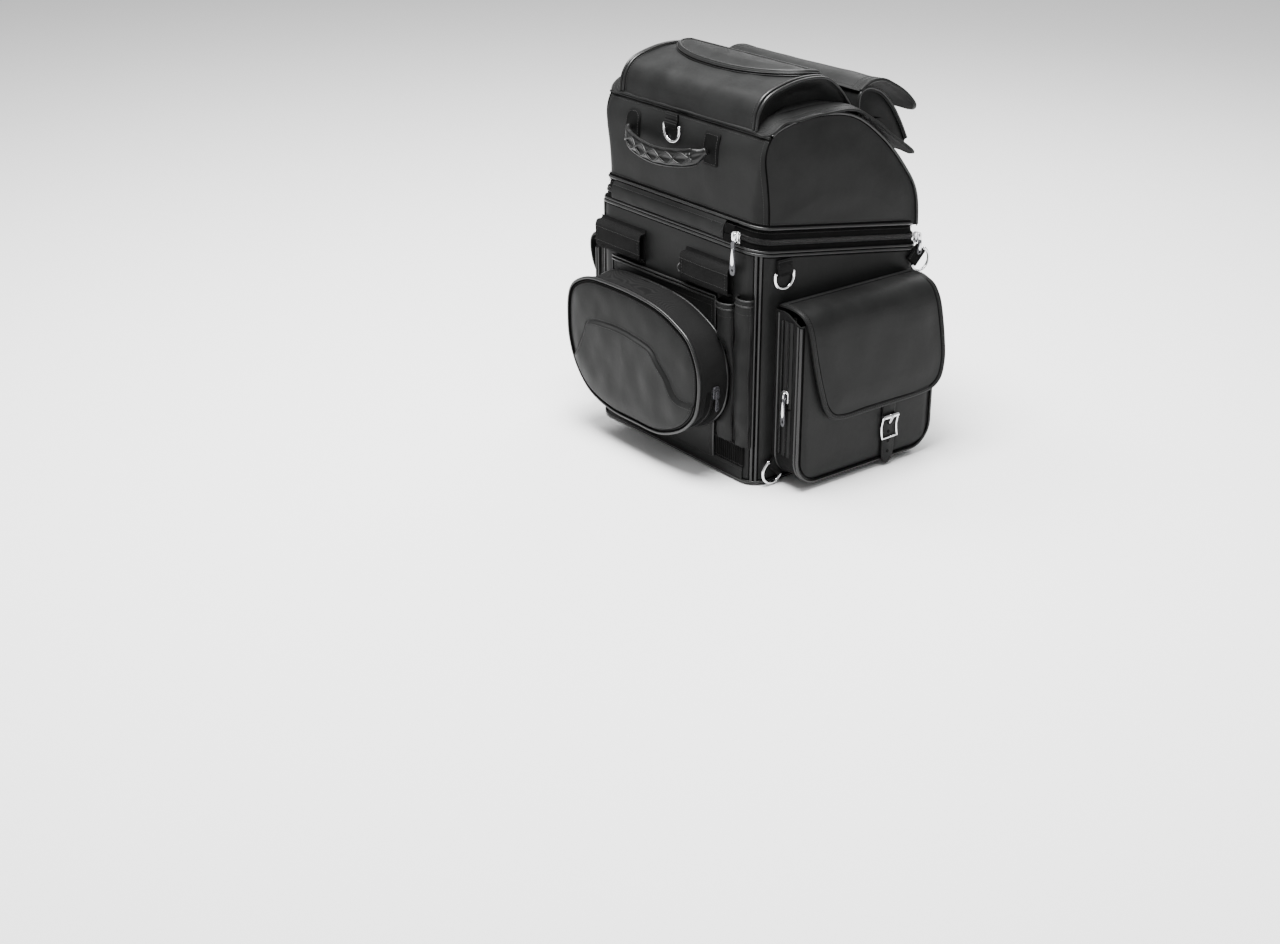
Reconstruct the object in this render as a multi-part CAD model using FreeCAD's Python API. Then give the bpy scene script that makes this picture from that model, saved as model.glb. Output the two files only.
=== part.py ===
import FreeCAD, Part
import math
import os

# Soft tail bag: X across the bag, Y towards the back, Z up, millimetres.
# The base stands on Z = 0 and is centred on the origin.

os.makedirs("parts", exist_ok=True)

V = FreeCAD.Vector
ALONG_X = V(1, 0, 0)
ALONG_Y = V(0, 1, 0)
ALONG_Z = V(0, 0, 1)

# main body
BODY_X = 180.0          # half width
BODY_Y = 156.0          # half depth
CORNER = 26.0           # plan radius of the upright corners
WALL = 4.0              # padded wall thickness
BASE = 5.0
SLOPE = 0.155           # fall of the rim towards the back
RIM = 346.0             # rim height at the front face
BEAD = 4.0              # how far the piping stands out
BEAD_H = 5.5

# zip band between body and lid, heights at the front face
TAPE = 1.6
TAPE_LOW = 344.0
ZIP_MID = 361.5
ZIP_GAP = 1.0
OPEN_GAP = 11.0         # parted stretch on the right-hand side
LID_RIM = 377.5
STRIP_X0 = -146.0
STRIP_X1 = 108.0

# lid
LID_X = 175.0
LID_SKIN = 4.0
LID_SEAM_Z = 503.0
LID_OUTLINE = [(-147, 340), (-147, 440), (-145, 480), (-133, 503), (-110, 513.5), (-50, 520),
               (13, 510), (68, 474), (116, 424), (144, 380), (152, 300)]
APRON_X = 178.0
APRON_T = 3.0
APRON_LINE = [(-147, 512), (-118, 519.5), (-80, 524), (-35, 525.5), (20, 521), (52, 504), (81, 482), (110, 460),
              (141, 438)]

# front roll on the lid
ROLL_X = 150.0
ROLL_SKIN = 4.0
ROLL_LINE = [(-138, 505), (-134, 530), (-120, 548), (-85, 560), (-45, 564), (-12, 559), (13, 540), (40, 505)]
COVER_X0 = -136.0
COVER_X1 = 139.0
COVER_BACK = -16.0
COVER_FRONT = -88.0
COVER_Z0 = 540.0
COVER_Z1 = 569.0
COVER_Z2 = 574.0
GAP = 0.35              # running gap between parts that move past each other

# rear pocket and top flap on the lid
REAR_X = 149.0
REAR_LINE = [(50, 495), (53, 528), (66, 535), (90, 528), (113, 508), (134, 478), (150, 450), (150, 436), (128, 430)]
FLAP_X = 147.0
FLAP_T = 4.5
FLAP_LINE = [(51, 534), (63, 541), (78, 545), (98, 543), (120, 533), (141, 520), (158, 506), (174, 489)]

# round pouch on the front
POUCH_BACK = 160.0
POUCH_FRONT = 215.0
POUCH_LINE = [(-177, 203), (-151, 234), (-92, 246), (-25, 246), (33, 240), (71, 228), (103, 214), (122, 178),
              (126, 143), (119, 107), (86, 73), (41, 53), (-18, 53), (-77, 55), (-129, 71), (-161, 103), (-176, 139)]
POUCH_FACE = 4.0
POUCH_SKIN = 3.0

# side pockets and their flaps
POCKET_D = 55.0
POCKET_Y0 = -120.0
POCKET_Y1 = 140.0
POCKET_Z0 = 12.0
POCKET_Z1 = 262.0
POCKET_R = 36.0
POCKET_WALL = 3.5
HINGE_X = 183.0
HINGE_Z = 265.0
SKIRT_X = 239.0
SKIRT_T = 4.0
SKIRT_LINE = [(-116, 262), (-101, 183), (-80, 118), (-46, 98), (40, 98), (112, 98), (150, 112), (157, 140),
              (142, 234), (132, 262)]

# strap and roller buckle
STRAP_Y = 52.0
STRAP_W = 22.0
STRAP_X = 236.0
STRAP_T = 2.2
BUCKLE_W = 34.0
BUCKLE_Z0 = 28.0
BUCKLE_Z1 = 78.0
BUCKLE_R = 2.0
ROLLER_R = 3.4
PRONG_R = 1.3
PIN_GAP = 0.06

# rings
RING_W = 38.0
RING_R = 2.1
RING_DROP = 25.0
TAB_W = 28.0
TAB_T = 5.6


def place(points, plane, level):
    """Turn pairs into points: plane 'yz' keeps X at level, 'xz' keeps Y, 'xy' keeps Z."""
    if plane == "yz":
        return [V(level, a, b) for a, b in points]
    if plane == "xz":
        return [V(a, level, b) for a, b in points]
    return [V(a, b, level) for a, b in points]


def polygon(points):
    return Part.Face(Part.makePolygon(points + [points[0]]))


def curve(points):
    line = Part.BSplineCurve()
    line.interpolate(points)
    return line.toShape()


def box(x0, x1, y0, y1, z0, z1):
    return Part.makeBox(x1 - x0, y1 - y0, z1 - z0, V(x0, y0, z0))


def shifted(points, distance):
    """Pairs moved sideways by distance, to the right of the direction of travel."""
    moved = []
    for i in range(len(points)):
        before = points[max(i - 1, 0)]
        after = points[min(i + 1, len(points) - 1)]
        across = after[0] - before[0]
        up = after[1] - before[1]
        length = math.hypot(across, up)
        moved.append((points[i][0] + distance * up / length, points[i][1] - distance * across / length))
    return moved


def ribbon(points, distance, x0, x1):
    """Bent sheet that follows the pairs in the YZ plane and runs from x0 to x1."""
    outer = place(points, "yz", x0)
    inner = place(shifted(points, distance), "yz", x0)
    edges = [curve(outer), Part.makeLine(outer[-1], inner[-1]), curve(inner), Part.makeLine(inner[0], outer[0])]
    return Part.Face(Part.Wire(Part.__sortEdges__(edges))).extrude(V(x1 - x0, 0, 0))


def bulk(points, x0, x1):
    """Solid under the curve through the pairs, closed by a straight line between its ends."""
    outer = place(points, "yz", x0)
    edges = [curve(outer), Part.makeLine(outer[-1], outer[0])]
    return Part.Face(Part.Wire(edges)).extrude(V(x1 - x0, 0, 0))


def prism(x0, x1, y0, y1, z0, z1, radius):
    """Upright block with round corners in plan."""
    block = box(x0, x1, y0, y1, z0, z1)
    upright = [e for e in block.Edges if abs(e.Vertexes[0].Z - e.Vertexes[-1].Z) > 1]
    return block.makeFillet(radius, upright)


def rim_z(height, y):
    """Height at depth y of a rim plane that stands at the given height on the front face."""
    return height - SLOPE * (y + BODY_Y)


def slab(low, high):
    """Everything between two rim planes."""
    outline = [(-400, rim_z(low, -400)), (400, rim_z(low, 400)), (400, rim_z(high, 400)), (-400, rim_z(high, -400))]
    return polygon(place(outline, "yz", -400)).extrude(V(800, 0, 0))


def below(height):
    outline = [(-400, -400), (400, -400), (400, rim_z(height, 400)), (-400, rim_z(height, -400))]
    return polygon(place(outline, "yz", -400)).extrude(V(800, 0, 0))


def body_block(grow, z0=0.0, z1=420.0):
    """Body outline in plan, grown outwards, as an upright block."""
    return prism(-BODY_X - grow, BODY_X + grow, -BODY_Y - grow, BODY_Y + grow, z0, z1, CORNER + grow)


def mirrored(shape):
    return shape.mirror(V(0, 0, 0), ALONG_X)


def rod(start, end, radius):
    along = end - start
    return Part.makeCylinder(radius, along.Length, start, along)


def save(name, shape):
    """Write one named part, made of one or more closed solids."""
    solids = shape.Solids
    whole = solids[0] if len(solids) == 1 else Part.makeCompound(solids)
    whole.exportStep("parts/" + name + ".step")


# ---- main body ----

def walls():
    tube = body_block(0, BASE).cut(body_block(-WALL, BASE))
    return tube.common(below(RIM))


def front_panel():
    return walls().common(box(-400, 400, -400, -BODY_Y + CORNER, 0, 500))


def rear_panel():
    return walls().common(box(-400, 400, BODY_Y - CORNER, 400, 0, 500))


def side_panel():
    return walls().common(box(0, 400, -BODY_Y + CORNER, BODY_Y - CORNER, 0, 500))


def base_panel():
    return body_block(0, 0, BASE)


def base_board():
    return body_block(-WALL - 1, BASE, BASE + 3)


def rim_bead():
    ring = body_block(BEAD, 200).cut(body_block(0, 200))
    return ring.common(slab(RIM - BEAD_H, RIM))


def base_bead():
    ring = body_block(BEAD, 1.5, 1.5 + BEAD_H).cut(body_block(0, 0, 20))
    pockets = box(BODY_X - 1, BODY_X + 20, POCKET_Y0 - 6, POCKET_Y1 + 6, POCKET_Z0 - 3, 30)
    return ring.cut(pockets).cut(mirrored(pockets))


def corner_beads():
    """Two upright beads side by side at the middle of each rounded corner."""
    beads = []
    for side in (-1, 1):
        for end in (-1, 1):
            for angle in (39, 52):
                reach = CORNER + BEAD / 2
                x = side * (BODY_X - CORNER + reach * math.cos(math.radians(angle)))
                y = end * (BODY_Y - CORNER + reach * math.sin(math.radians(angle)))
                beads.append(rod(V(x, y, 1.5 + BEAD_H), V(x, y, rim_z(RIM - BEAD_H - 1, y)), BEAD / 2 - 0.1))
    return Part.makeCompound(beads)


def body_piping():
    return Part.makeCompound(rim_bead().Solids + base_bead().Solids + corner_beads().Solids)


def zip_opening():
    """Space where the two halves of the zip are parted."""
    parted = slab(ZIP_MID - OPEN_GAP / 2, ZIP_MID + OPEN_GAP / 2)
    return parted.common(box(150, 400, -BODY_Y + 20, BODY_Y - 20, 200, 500))


def tape_ring(low, high, inset):
    ring = body_block(-inset, 200).cut(body_block(-inset - TAPE, 200))
    ring = ring.common(slab(low, high))
    strip_space = box(STRIP_X0, STRIP_X1, -400, -BODY_Y + 30, 200, 500)
    return ring.cut(strip_space)


def lower_tape():
    return tape_ring(RIM, ZIP_MID - ZIP_GAP, 1.0).cut(zip_opening())


def upper_tape():
    return tape_ring(ZIP_MID + ZIP_GAP, LID_RIM, 5.2).cut(zip_opening())


def lower_teeth():
    """Moulded coil along the free edge of the lower tape, parted on the right-hand side."""
    closed = coil_ring(ZIP_MID - 3.2, ZIP_MID - 0.6, -1.0).cut(box(150, 400, -136, 136, 200, 500))
    parted = coil_ring(ZIP_MID - OPEN_GAP / 2 - 2.6, ZIP_MID - OPEN_GAP / 2, -1.0).common(box(150, 400, -136, 136, 200, 500))
    return Part.makeCompound(closed.Solids + parted.Solids)


def upper_teeth():
    closed = coil_ring(ZIP_MID + 0.6, ZIP_MID + 3.2, -5.2).cut(box(150, 400, -136, 136, 200, 500))
    parted = coil_ring(ZIP_MID + OPEN_GAP / 2, ZIP_MID + OPEN_GAP / 2 + 2.6, -5.2).common(box(150, 400, -136, 136, 200, 500))
    return Part.makeCompound(closed.Solids + parted.Solids)


def coil_ring(low, high, grow):
    """Bead on the outer face of a tape that is inset by the same amount."""
    ring = body_block(grow + 1.8, 200).cut(body_block(grow, 200)).common(slab(low, high))
    return ring.cut(box(STRIP_X0, STRIP_X1, -400, -BODY_Y + 30, 200, 500))


def hinge_strip():
    """Leather strip that takes the place of the zip across the front."""
    outline = [(-BODY_Y + 0.5, RIM), (-BODY_Y + 3.5, RIM), (-BODY_Y + 4.5, ZIP_MID + 7), (-BODY_Y + 1.5, ZIP_MID + 7)]
    return polygon(place(outline, "yz", STRIP_X0)).extrude(V(STRIP_X1 - STRIP_X0, 0, 0))


def lid_strip():
    outline = [(-BODY_Y + 5.5, ZIP_MID + 8), (-BODY_Y + 8.0, ZIP_MID + 8), (-BODY_Y + 13, rim_z(LID_RIM, -143)),
               (-BODY_Y + 9.2, rim_z(LID_RIM, -147))]
    return polygon(place(outline, "yz", STRIP_X0)).extrude(V(STRIP_X1 - STRIP_X0, 0, 0))


# ---- front of the body ----

def front_box(x0, x1, depth0, depth1, z0, z1):
    """Box on the front face, by how far it stands out."""
    return box(x0, x1, -BODY_Y - depth1, -BODY_Y - depth0, z0, z1)


def slip_pocket():
    sheet = front_box(-141, 96, 0, 3.8, 24, 262)
    hem = front_box(-141, 96, 0, 6, 262, 267)
    return sheet.fuse(hem).removeSplitter()


def pouch_outline():
    points = place(POUCH_LINE, "xz", -POUCH_BACK)
    line = Part.BSplineCurve()
    line.interpolate(points, PeriodicFlag=True)
    return Part.Face(Part.Wire(line.toShape()))


def pouch_block(depth0, depth1, grow=0.0):
    """Pouch outline between two distances from the back of the pouch."""
    face = pouch_outline()
    if grow:
        face = Part.Face(face.OuterWire.makeOffset2D(grow))
    face.translate(V(0, -depth0, 0))
    return face.extrude(V(0, depth0 - depth1, 0))


def pouch_core():
    return pouch_block(0, POUCH_FRONT - POUCH_BACK - POUCH_FACE)


def pouch_face():
    return pouch_block(POUCH_FRONT - POUCH_BACK - POUCH_FACE, POUCH_FRONT - POUCH_BACK)


def pouch_pad():
    """Raised trapezoid with flared lower corners on the pouch face."""
    outline = [(-119, 178), (22, 178), (78, 121), (106, 116), (78, 84), (20, 66), (-92, 66), (-136, 88), (-158, 116),
               (-150, 121)]
    return polygon(place(outline, "xz", -POUCH_FRONT)).extrude(V(0, -3.0, 0))


def pouch_beads():
    length = POUCH_FRONT - POUCH_BACK
    front = pouch_block(length - BEAD, length, 3.2).cut(pouch_block(0, length + 1))
    back = pouch_block(0, BEAD, 3.2).cut(pouch_block(-1, length))
    return Part.makeCompound(front.Solids + back.Solids)


def pouch_tape():
    """Ribbed zip tape round the lower right part of the pouch edge."""
    ring = pouch_block(14, 34, 1.4).cut(pouch_block(0, 60))
    return ring.common(box(60, 200, -400, 0, 60, 172))


def pouch_slider():
    return box(128, 133, -190, -178, 126, 146).cut(rod(V(120, -184, 130), V(140, -184, 130), 2))


def pen_sleeves():
    keep_clear = pouch_block(-10, 80, 3.4)
    sleeves = []
    for x0, x1, top in ((104, 137, 264), (141, 172, 278)):
        sleeve = front_box(x0, x1, 0, 15, 60, top).cut(front_box(x0 + 2, x1 - 2, 1.5, 13, 64, top + 1))
        sleeves += sleeve.cut(keep_clear).Solids
    return Part.makeCompound(sleeves)


def elastic_patch():
    return front_box(99, 172, 0, 2.5, 24, 59.5).cut(pouch_block(-10, 80, 4.2))


def webbing_loops():
    loops = []
    for x0, x1 in ((-171, -66), (27, 131)):
        loop = front_box(x0, x1, 0, 14, 270, 320).cut(front_box(x0 - 1, x1 + 1, 0, 11.5, 274, 316))
        backing = front_box(x0, x1, 0, 1.2, 270, 320)
        loops.append(loop.fuse(backing).removeSplitter())
    return Part.makeCompound(loops)


# ---- side pockets ----

def pocket_outline(grow):
    """Pocket outline in the YZ plane at the body side: square top, round bottom corners."""
    block = box(BODY_X, BODY_X + 80, POCKET_Y0 - grow, POCKET_Y1 + grow, POCKET_Z0 - grow, POCKET_Z1)
    low = [e for e in block.Edges if e.BoundBox.ZMax < POCKET_Z0 - grow + 1 and e.BoundBox.XLength > 1]
    return block.makeFillet(POCKET_R + grow, low)


def pocket_shell():
    shell = pocket_outline(0).common(box(BODY_X, BODY_X + POCKET_D, -300, 300, 0, POCKET_Z1))
    hollow = pocket_outline(-POCKET_WALL).common(box(BODY_X, BODY_X + POCKET_D - POCKET_WALL, -300, 300, 0, 400))
    return shell.cut(hollow)


def pocket_beads():
    ring = pocket_outline(BEAD).cut(pocket_outline(0))
    outer = ring.common(box(BODY_X + POCKET_D - BEAD, BODY_X + POCKET_D, -300, 300, 0, 255))
    inner = ring.common(box(BODY_X + BEAD + 1, BODY_X + 2 * BEAD + 1, -300, 300, 0, 255))
    return Part.makeCompound(outer.Solids + inner.Solids)


def pocket_tape():
    return box(BODY_X + 17, BODY_X + 41, POCKET_Y0 - 1.6, POCKET_Y0, 54, 248)


def pocket_slider():
    body = box(BODY_X + 23, BODY_X + 35, POCKET_Y0 - 7, POCKET_Y0 - 2, 132, 150)
    pull = box(BODY_X + 25, BODY_X + 33, POCKET_Y0 - 10, POCKET_Y0 - 7, 96, 146)
    return body.fuse(pull).cut(box(BODY_X + 27, BODY_X + 31, POCKET_Y0 - 11, POCKET_Y0 - 6.5, 101, 109))


def pocket_flap():
    """Flap with a short top run and a long skirt that hangs over the pocket."""
    top = [(HINGE_X, HINGE_Z + 2), (HINGE_X + 30, HINGE_Z + 1.5), (SKIRT_X - 3, HINGE_Z), (SKIRT_X, HINGE_Z - 10),
           (SKIRT_X + SKIRT_T, HINGE_Z - 10), (SKIRT_X - 1, HINGE_Z + 3.5), (HINGE_X + 30, HINGE_Z + 5.5),
           (HINGE_X, HINGE_Z + 5)]
    run = polygon(place(top, "xz", -118)).extrude(V(0, 252, 0))
    skirt = box(SKIRT_X, SKIRT_X + SKIRT_T, -200, 200, 50, HINGE_Z - 10)
    outer = place(SKIRT_LINE, "yz", BODY_X)
    outline = Part.Face(Part.Wire([curve(outer), Part.makeLine(outer[-1], outer[0])])).extrude(V(120, 0, 0))
    return run.fuse(skirt.common(outline)).removeSplitter()


def flap_strap():
    low = box(STRAP_X, STRAP_X + STRAP_T, STRAP_Y - STRAP_W / 2, STRAP_Y + STRAP_W / 2, 14, 150)
    tip = rod(V(STRAP_X, STRAP_Y, 14), V(STRAP_X + STRAP_T, STRAP_Y, 14), STRAP_W / 2)
    return low.fuse(tip).removeSplitter()


BUCKLE_X = STRAP_X + STRAP_T + 0.2 + ROLLER_R
ROLLER_GAP = 2.6


def buckle_frame():
    """Open frame: two side rods, a top bar for the roller and a bottom bar."""
    y0 = STRAP_Y - BUCKLE_W / 2
    y1 = STRAP_Y + BUCKLE_W / 2
    bars = []
    for y in (y0, y1):
        bars.append(rod(V(BUCKLE_X, y, BUCKLE_Z0), V(BUCKLE_X, y, BUCKLE_Z1), BUCKLE_R + 0.25))
    for z in (BUCKLE_Z0, BUCKLE_Z1):
        bars.append(rod(V(BUCKLE_X, y0, z), V(BUCKLE_X, y1, z), BUCKLE_R))
    for y in (y0, y1):
        for z in (BUCKLE_Z0, BUCKLE_Z1):
            bars.append(Part.makeSphere(BUCKLE_R + 0.5, V(BUCKLE_X, y, z)))
    return bars[0].multiFuse(bars[1:])


def buckle_roller():
    """Roller in two halves on the top bar, with room for the prong between them."""
    half = BUCKLE_W / 2 - BUCKLE_R - 1
    bore = rod(V(BUCKLE_X, STRAP_Y - half, BUCKLE_Z1), V(BUCKLE_X, STRAP_Y + half, BUCKLE_Z1), BUCKLE_R + PIN_GAP)
    halves = []
    for near, far in ((-half, -ROLLER_GAP), (ROLLER_GAP, half)):
        tube = rod(V(BUCKLE_X, STRAP_Y + near, BUCKLE_Z1), V(BUCKLE_X, STRAP_Y + far, BUCKLE_Z1), ROLLER_R)
        halves += tube.cut(bore).Solids
    return Part.makeCompound(halves)


def buckle_prong():
    """Eye round the top bar and a tongue that runs down to the strap."""
    eye = rod(V(BUCKLE_X, STRAP_Y - 2, BUCKLE_Z1), V(BUCKLE_X, STRAP_Y + 2, BUCKLE_Z1), BUCKLE_R + 1.3)
    tongue = rod(V(BUCKLE_X + 2, STRAP_Y, BUCKLE_Z1 - 2.6), V(BUCKLE_X - 0.6, STRAP_Y, BUCKLE_Z1 - 24), PRONG_R)
    bore = rod(V(BUCKLE_X, STRAP_Y - 3, BUCKLE_Z1), V(BUCKLE_X, STRAP_Y + 3, BUCKLE_Z1), BUCKLE_R + PIN_GAP)
    return eye.fuse(tongue).cut(bore)


# ---- rings on webbing tabs ----

def ring():
    """D-shaped ring that hangs from its straight bar at the origin, bar along Y, drop along -Z."""
    half = RING_W / 2 - RING_R
    straight = RING_DROP - RING_R - half
    bar = rod(V(0, -half, 0), V(0, half, 0), RING_R)
    legs = [rod(V(0, y, 0), V(0, y, -straight), RING_R) for y in (-half, half)]
    bow = Part.makeTorus(half, RING_R, V(0, 0, -straight), ALONG_X).common(box(-9, 9, -40, 40, -60, -straight))
    knuckles = [Part.makeSphere(RING_R, V(0, y, 0)) for y in (-half, half)]
    return bar.multiFuse(legs + [bow] + knuckles).removeSplitter()


def tab(length):
    """Webbing tab behind the bar, wrapped round it, running up by length; its back lies at x = -TAB_T / 2 - 0.1."""
    back = -TAB_T / 2 - 0.1
    wrap = rod(V(0, -TAB_W / 2, 0), V(0, TAB_W / 2, 0), TAB_T / 2)
    run = box(back, back + 3.2, -TAB_W / 2, TAB_W / 2, 0, length)
    bore = rod(V(0, -TAB_W, 0), V(0, TAB_W, 0), RING_R + PIN_GAP)
    return wrap.fuse(run).cut(bore)


def set_on(shape, position, turn_z=0.0, roll=0.0):
    """Place a ring or tab: roll about its outward axis first, then turn about the upright."""
    turned = FreeCAD.Rotation(ALONG_Z, turn_z).multiply(FreeCAD.Rotation(ALONG_X, roll))
    moved = shape.copy()
    moved.Placement = FreeCAD.Placement(position, turned)
    return moved


TAB_OUT = TAB_T / 2 + 0.1
RING_SPOTS = {
    "front_top": (V(BODY_X + TAB_OUT, -110, 312), 0.0, 20.0),
    "rear_top": (V(BODY_X + TAB_OUT, 150, 283), 45.0, 17.0),
    "front_bottom": (V(BODY_X + BEAD + TAB_OUT + 0.4, -122, 24), -45.0, 14.0),
}
LID_RING = (V(-16, -147 - TAB_OUT, 484), -90.0, 18.0)


# ---- lid ----

def lid_block(points):
    return bulk(points, -LID_X, LID_X).cut(below(LID_RIM))


def lid_shell():
    return ribbon(LID_OUTLINE, LID_SKIN, -LID_X, LID_X).cut(below(LID_RIM))


def lid_front():
    return lid_shell().common(box(-400, 400, -300, -100, 300, LID_SEAM_Z))


def lid_crown():
    return lid_shell().cut(box(-400, 400, -300, -100, 300, LID_SEAM_Z))


def lid_sides():
    core = lid_block(shifted(LID_OUTLINE, LID_SKIN))
    return core.cut(box(-LID_X + LID_SKIN, LID_X - LID_SKIN, -300, 300, 0, 700))


def lid_beads():
    """Piping along both curved side seams and round the lid rim."""
    right = ribbon(LID_OUTLINE, LID_SKIN, LID_X, LID_X + 3.2).cut(below(LID_RIM + BEAD_H + 0.5))
    plan = prism(-LID_X - BEAD, LID_X + BEAD, -147 - BEAD, 152 + BEAD, 200, 500, 10)
    rim = plan.common(slab(LID_RIM, LID_RIM + BEAD_H)).cut(bulk(LID_OUTLINE, -LID_X, LID_X)).cut(lid_strip())
    return Part.makeCompound(right.Solids + mirrored(right).Solids + rim.Solids)


def apron():
    return ribbon(APRON_LINE, APRON_T, -APRON_X, APRON_X)


def under_apron():
    """Everything under the apron's upper face."""
    points = place(APRON_LINE, "yz", -200)
    low = [V(-200, 141, 300), V(-200, -147, 300)]
    sides = [Part.makeLine(points[-1], low[0]), Part.makeLine(low[0], low[1]), Part.makeLine(low[1], points[0])]
    return Part.Face(Part.Wire([curve(points)] + sides)).extrude(V(400, 0, 0))


def half_moon(margin, z0, z1):
    """Half-moon in plan, straight at the back, between two heights."""
    left = V(COVER_X0 + margin, COVER_BACK - margin, z0)
    right = V(COVER_X1 - margin, COVER_BACK - margin, z0)
    front = V((COVER_X0 + COVER_X1) / 2, COVER_FRONT + margin, z0)
    bow = Part.Arc(left, front, right).toShape()
    return Part.Face(Part.Wire([bow, Part.makeLine(right, left)])).extrude(V(0, 0, z1 - z0))


def roll_shell():
    """Hollow roll with an opening in its top."""
    outer = bulk(ROLL_LINE, -ROLL_X, ROLL_X).cut(under_apron())
    core = bulk(shifted(ROLL_LINE, ROLL_SKIN), -ROLL_X + ROLL_SKIN, ROLL_X - ROLL_SKIN)
    core = core.common(box(-400, 400, -400, 400, 527.5, 700))
    return outer.cut(core).cut(half_moon(9, 530, 600))


def roll_beads():
    right = ribbon(ROLL_LINE, ROLL_SKIN, ROLL_X, ROLL_X + 3).cut(under_apron())
    inner = ribbon(ROLL_LINE, -2.2, ROLL_X - 10, ROLL_X - 6).cut(under_apron())
    return Part.makeCompound(right.Solids + mirrored(right).Solids + inner.Solids + mirrored(inner).Solids)


def roll_cover():
    """Padded half-moon cover on top of the roll."""
    band = half_moon(0, COVER_Z0, COVER_Z1)
    crown = half_moon(7, COVER_Z1, COVER_Z2)
    return band.fuse(crown).cut(bulk(shifted(ROLL_LINE, -GAP), -200, 200))


def rear_pocket():
    return bulk(REAR_LINE, -REAR_X, REAR_X).cut(under_apron()).cut(box(-400, 400, 141, 400, 0, 452))


def rear_beads():
    right = ribbon(REAR_LINE[1:7], 3.5, REAR_X, REAR_X + 3).cut(under_apron())
    return Part.makeCompound(right.Solids + mirrored(right).Solids)


def top_flap():
    return ribbon(FLAP_LINE, FLAP_T, -FLAP_X, FLAP_X).cut(bulk(shifted(REAR_LINE, -GAP), -200, 200))


# ---- carry handle on the lid front ----

HANDLE_X0 = -106.0
HANDLE_X1 = 68.0
HANDLE_MID = (HANDLE_X0 + HANDLE_X1) / 2
HANDLE_R = 8.0
HANDLE_AXIS_Y = -156.0
HANDLE_AXIS_Z = 470.0


def handle():
    """Sagging grip between two flat ends."""
    points = [V(HANDLE_X0, -158, 462), V(HANDLE_X0 + 24, -170, 448), V(HANDLE_MID, -177, 441),
              V(HANDLE_X1 - 24, -170, 448), V(HANDLE_X1, -158, 462)]
    line = Part.BSplineCurve()
    line.interpolate(points)
    profile = Part.Wire(Part.makeCircle(HANDLE_R - 1, points[0], line.tangent(line.FirstParameter)[0]))
    grip = Part.Wire(line.toShape()).makePipeShell([profile], True, False)
    ends = [box(x - 12, x + 12, -160, -153, 448, 476) for x in (HANDLE_X0, HANDLE_X1)]
    return grip.multiFuse(ends).removeSplitter()


def handle_anchors():
    patches = [box(x - 16, x + 16, -149.6, -147.05, 443, 490) for x in (HANDLE_X0, HANDLE_X1)]
    return Part.makeCompound(patches).cut(lid_block(LID_OUTLINE))


# ---- main sliders ----

def slider_front():
    return front_box(131, 147, 3, 9, 353, 370)


def pull_front():
    return front_box(133.6, 144.4, 9.2, 11.4, 308, 356.4).cut(front_box(136.5, 141.5, 9, 12, 312, 320))


SLIDER_Y = 144.0


def slider_rear():
    z = rim_z(ZIP_MID, SLIDER_Y)
    return box(BODY_X + 3.2, BODY_X + 9, SLIDER_Y - 9, SLIDER_Y + 9, z - 8, z + 8)


def pull_rear():
    z = rim_z(ZIP_MID, SLIDER_Y)
    return box(BODY_X + 9.2, BODY_X + 11.4, SLIDER_Y - 4.5, SLIDER_Y + 4.5, z - 24, z - 2)


save("front_panel", front_panel())
save("rear_panel", rear_panel())
save("right_side_panel", side_panel())
save("left_side_panel", mirrored(side_panel()))
save("base_panel", base_panel())
save("base_board", base_board())
save("body_piping", body_piping())
save("zip_tape_lower", lower_tape())
save("zip_teeth_lower", lower_teeth())
save("hinge_strip", hinge_strip())
save("front_slip_pocket", slip_pocket())
save("pen_sleeves", pen_sleeves())
save("elastic_patch", elastic_patch())
save("webbing_loops", webbing_loops())
save("pouch_core", pouch_core())
save("pouch_face", Part.makeCompound([pouch_face(), pouch_pad()]))
save("pouch_slider", pouch_slider())
save("pocket_shell_right", pocket_shell())
save("pocket_shell_left", mirrored(pocket_shell()))
save("pocket_piping", Part.makeCompound(pocket_beads().Solids + mirrored(pocket_beads()).Solids + pouch_beads().Solids))
save("pocket_zip_tapes", Part.makeCompound([pocket_tape(), mirrored(pocket_tape())] + pouch_tape().Solids))
save("pocket_slider_right", pocket_slider())
save("pocket_slider_left", mirrored(pocket_slider()))
save("pocket_flap_right", pocket_flap())
save("pocket_flap_left", mirrored(pocket_flap()))
save("flap_strap_right", flap_strap())
save("flap_strap_left", mirrored(flap_strap()))
save("buckle_frame_right", buckle_frame())
save("buckle_frame_left", mirrored(buckle_frame()))
save("buckle_roller_right", buckle_roller())
save("buckle_roller_left", mirrored(buckle_roller()))
save("buckle_prong_right", buckle_prong())
save("buckle_prong_left", mirrored(buckle_prong()))

tabs = []
for spot, (position, roll, length) in RING_SPOTS.items():
    hung = set_on(ring(), position, 0.0, roll)
    save("ring_" + spot + "_right", hung)
    save("ring_" + spot + "_left", mirrored(hung))
    sewn = set_on(tab(length), position, 0.0, roll).common(below(RIM - BEAD_H - 0.3))
    tabs += sewn.cut(pocket_outline(BEAD)).Solids
save("ring_tabs", Part.makeCompound(tabs + [mirrored(t) for t in tabs]))

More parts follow.
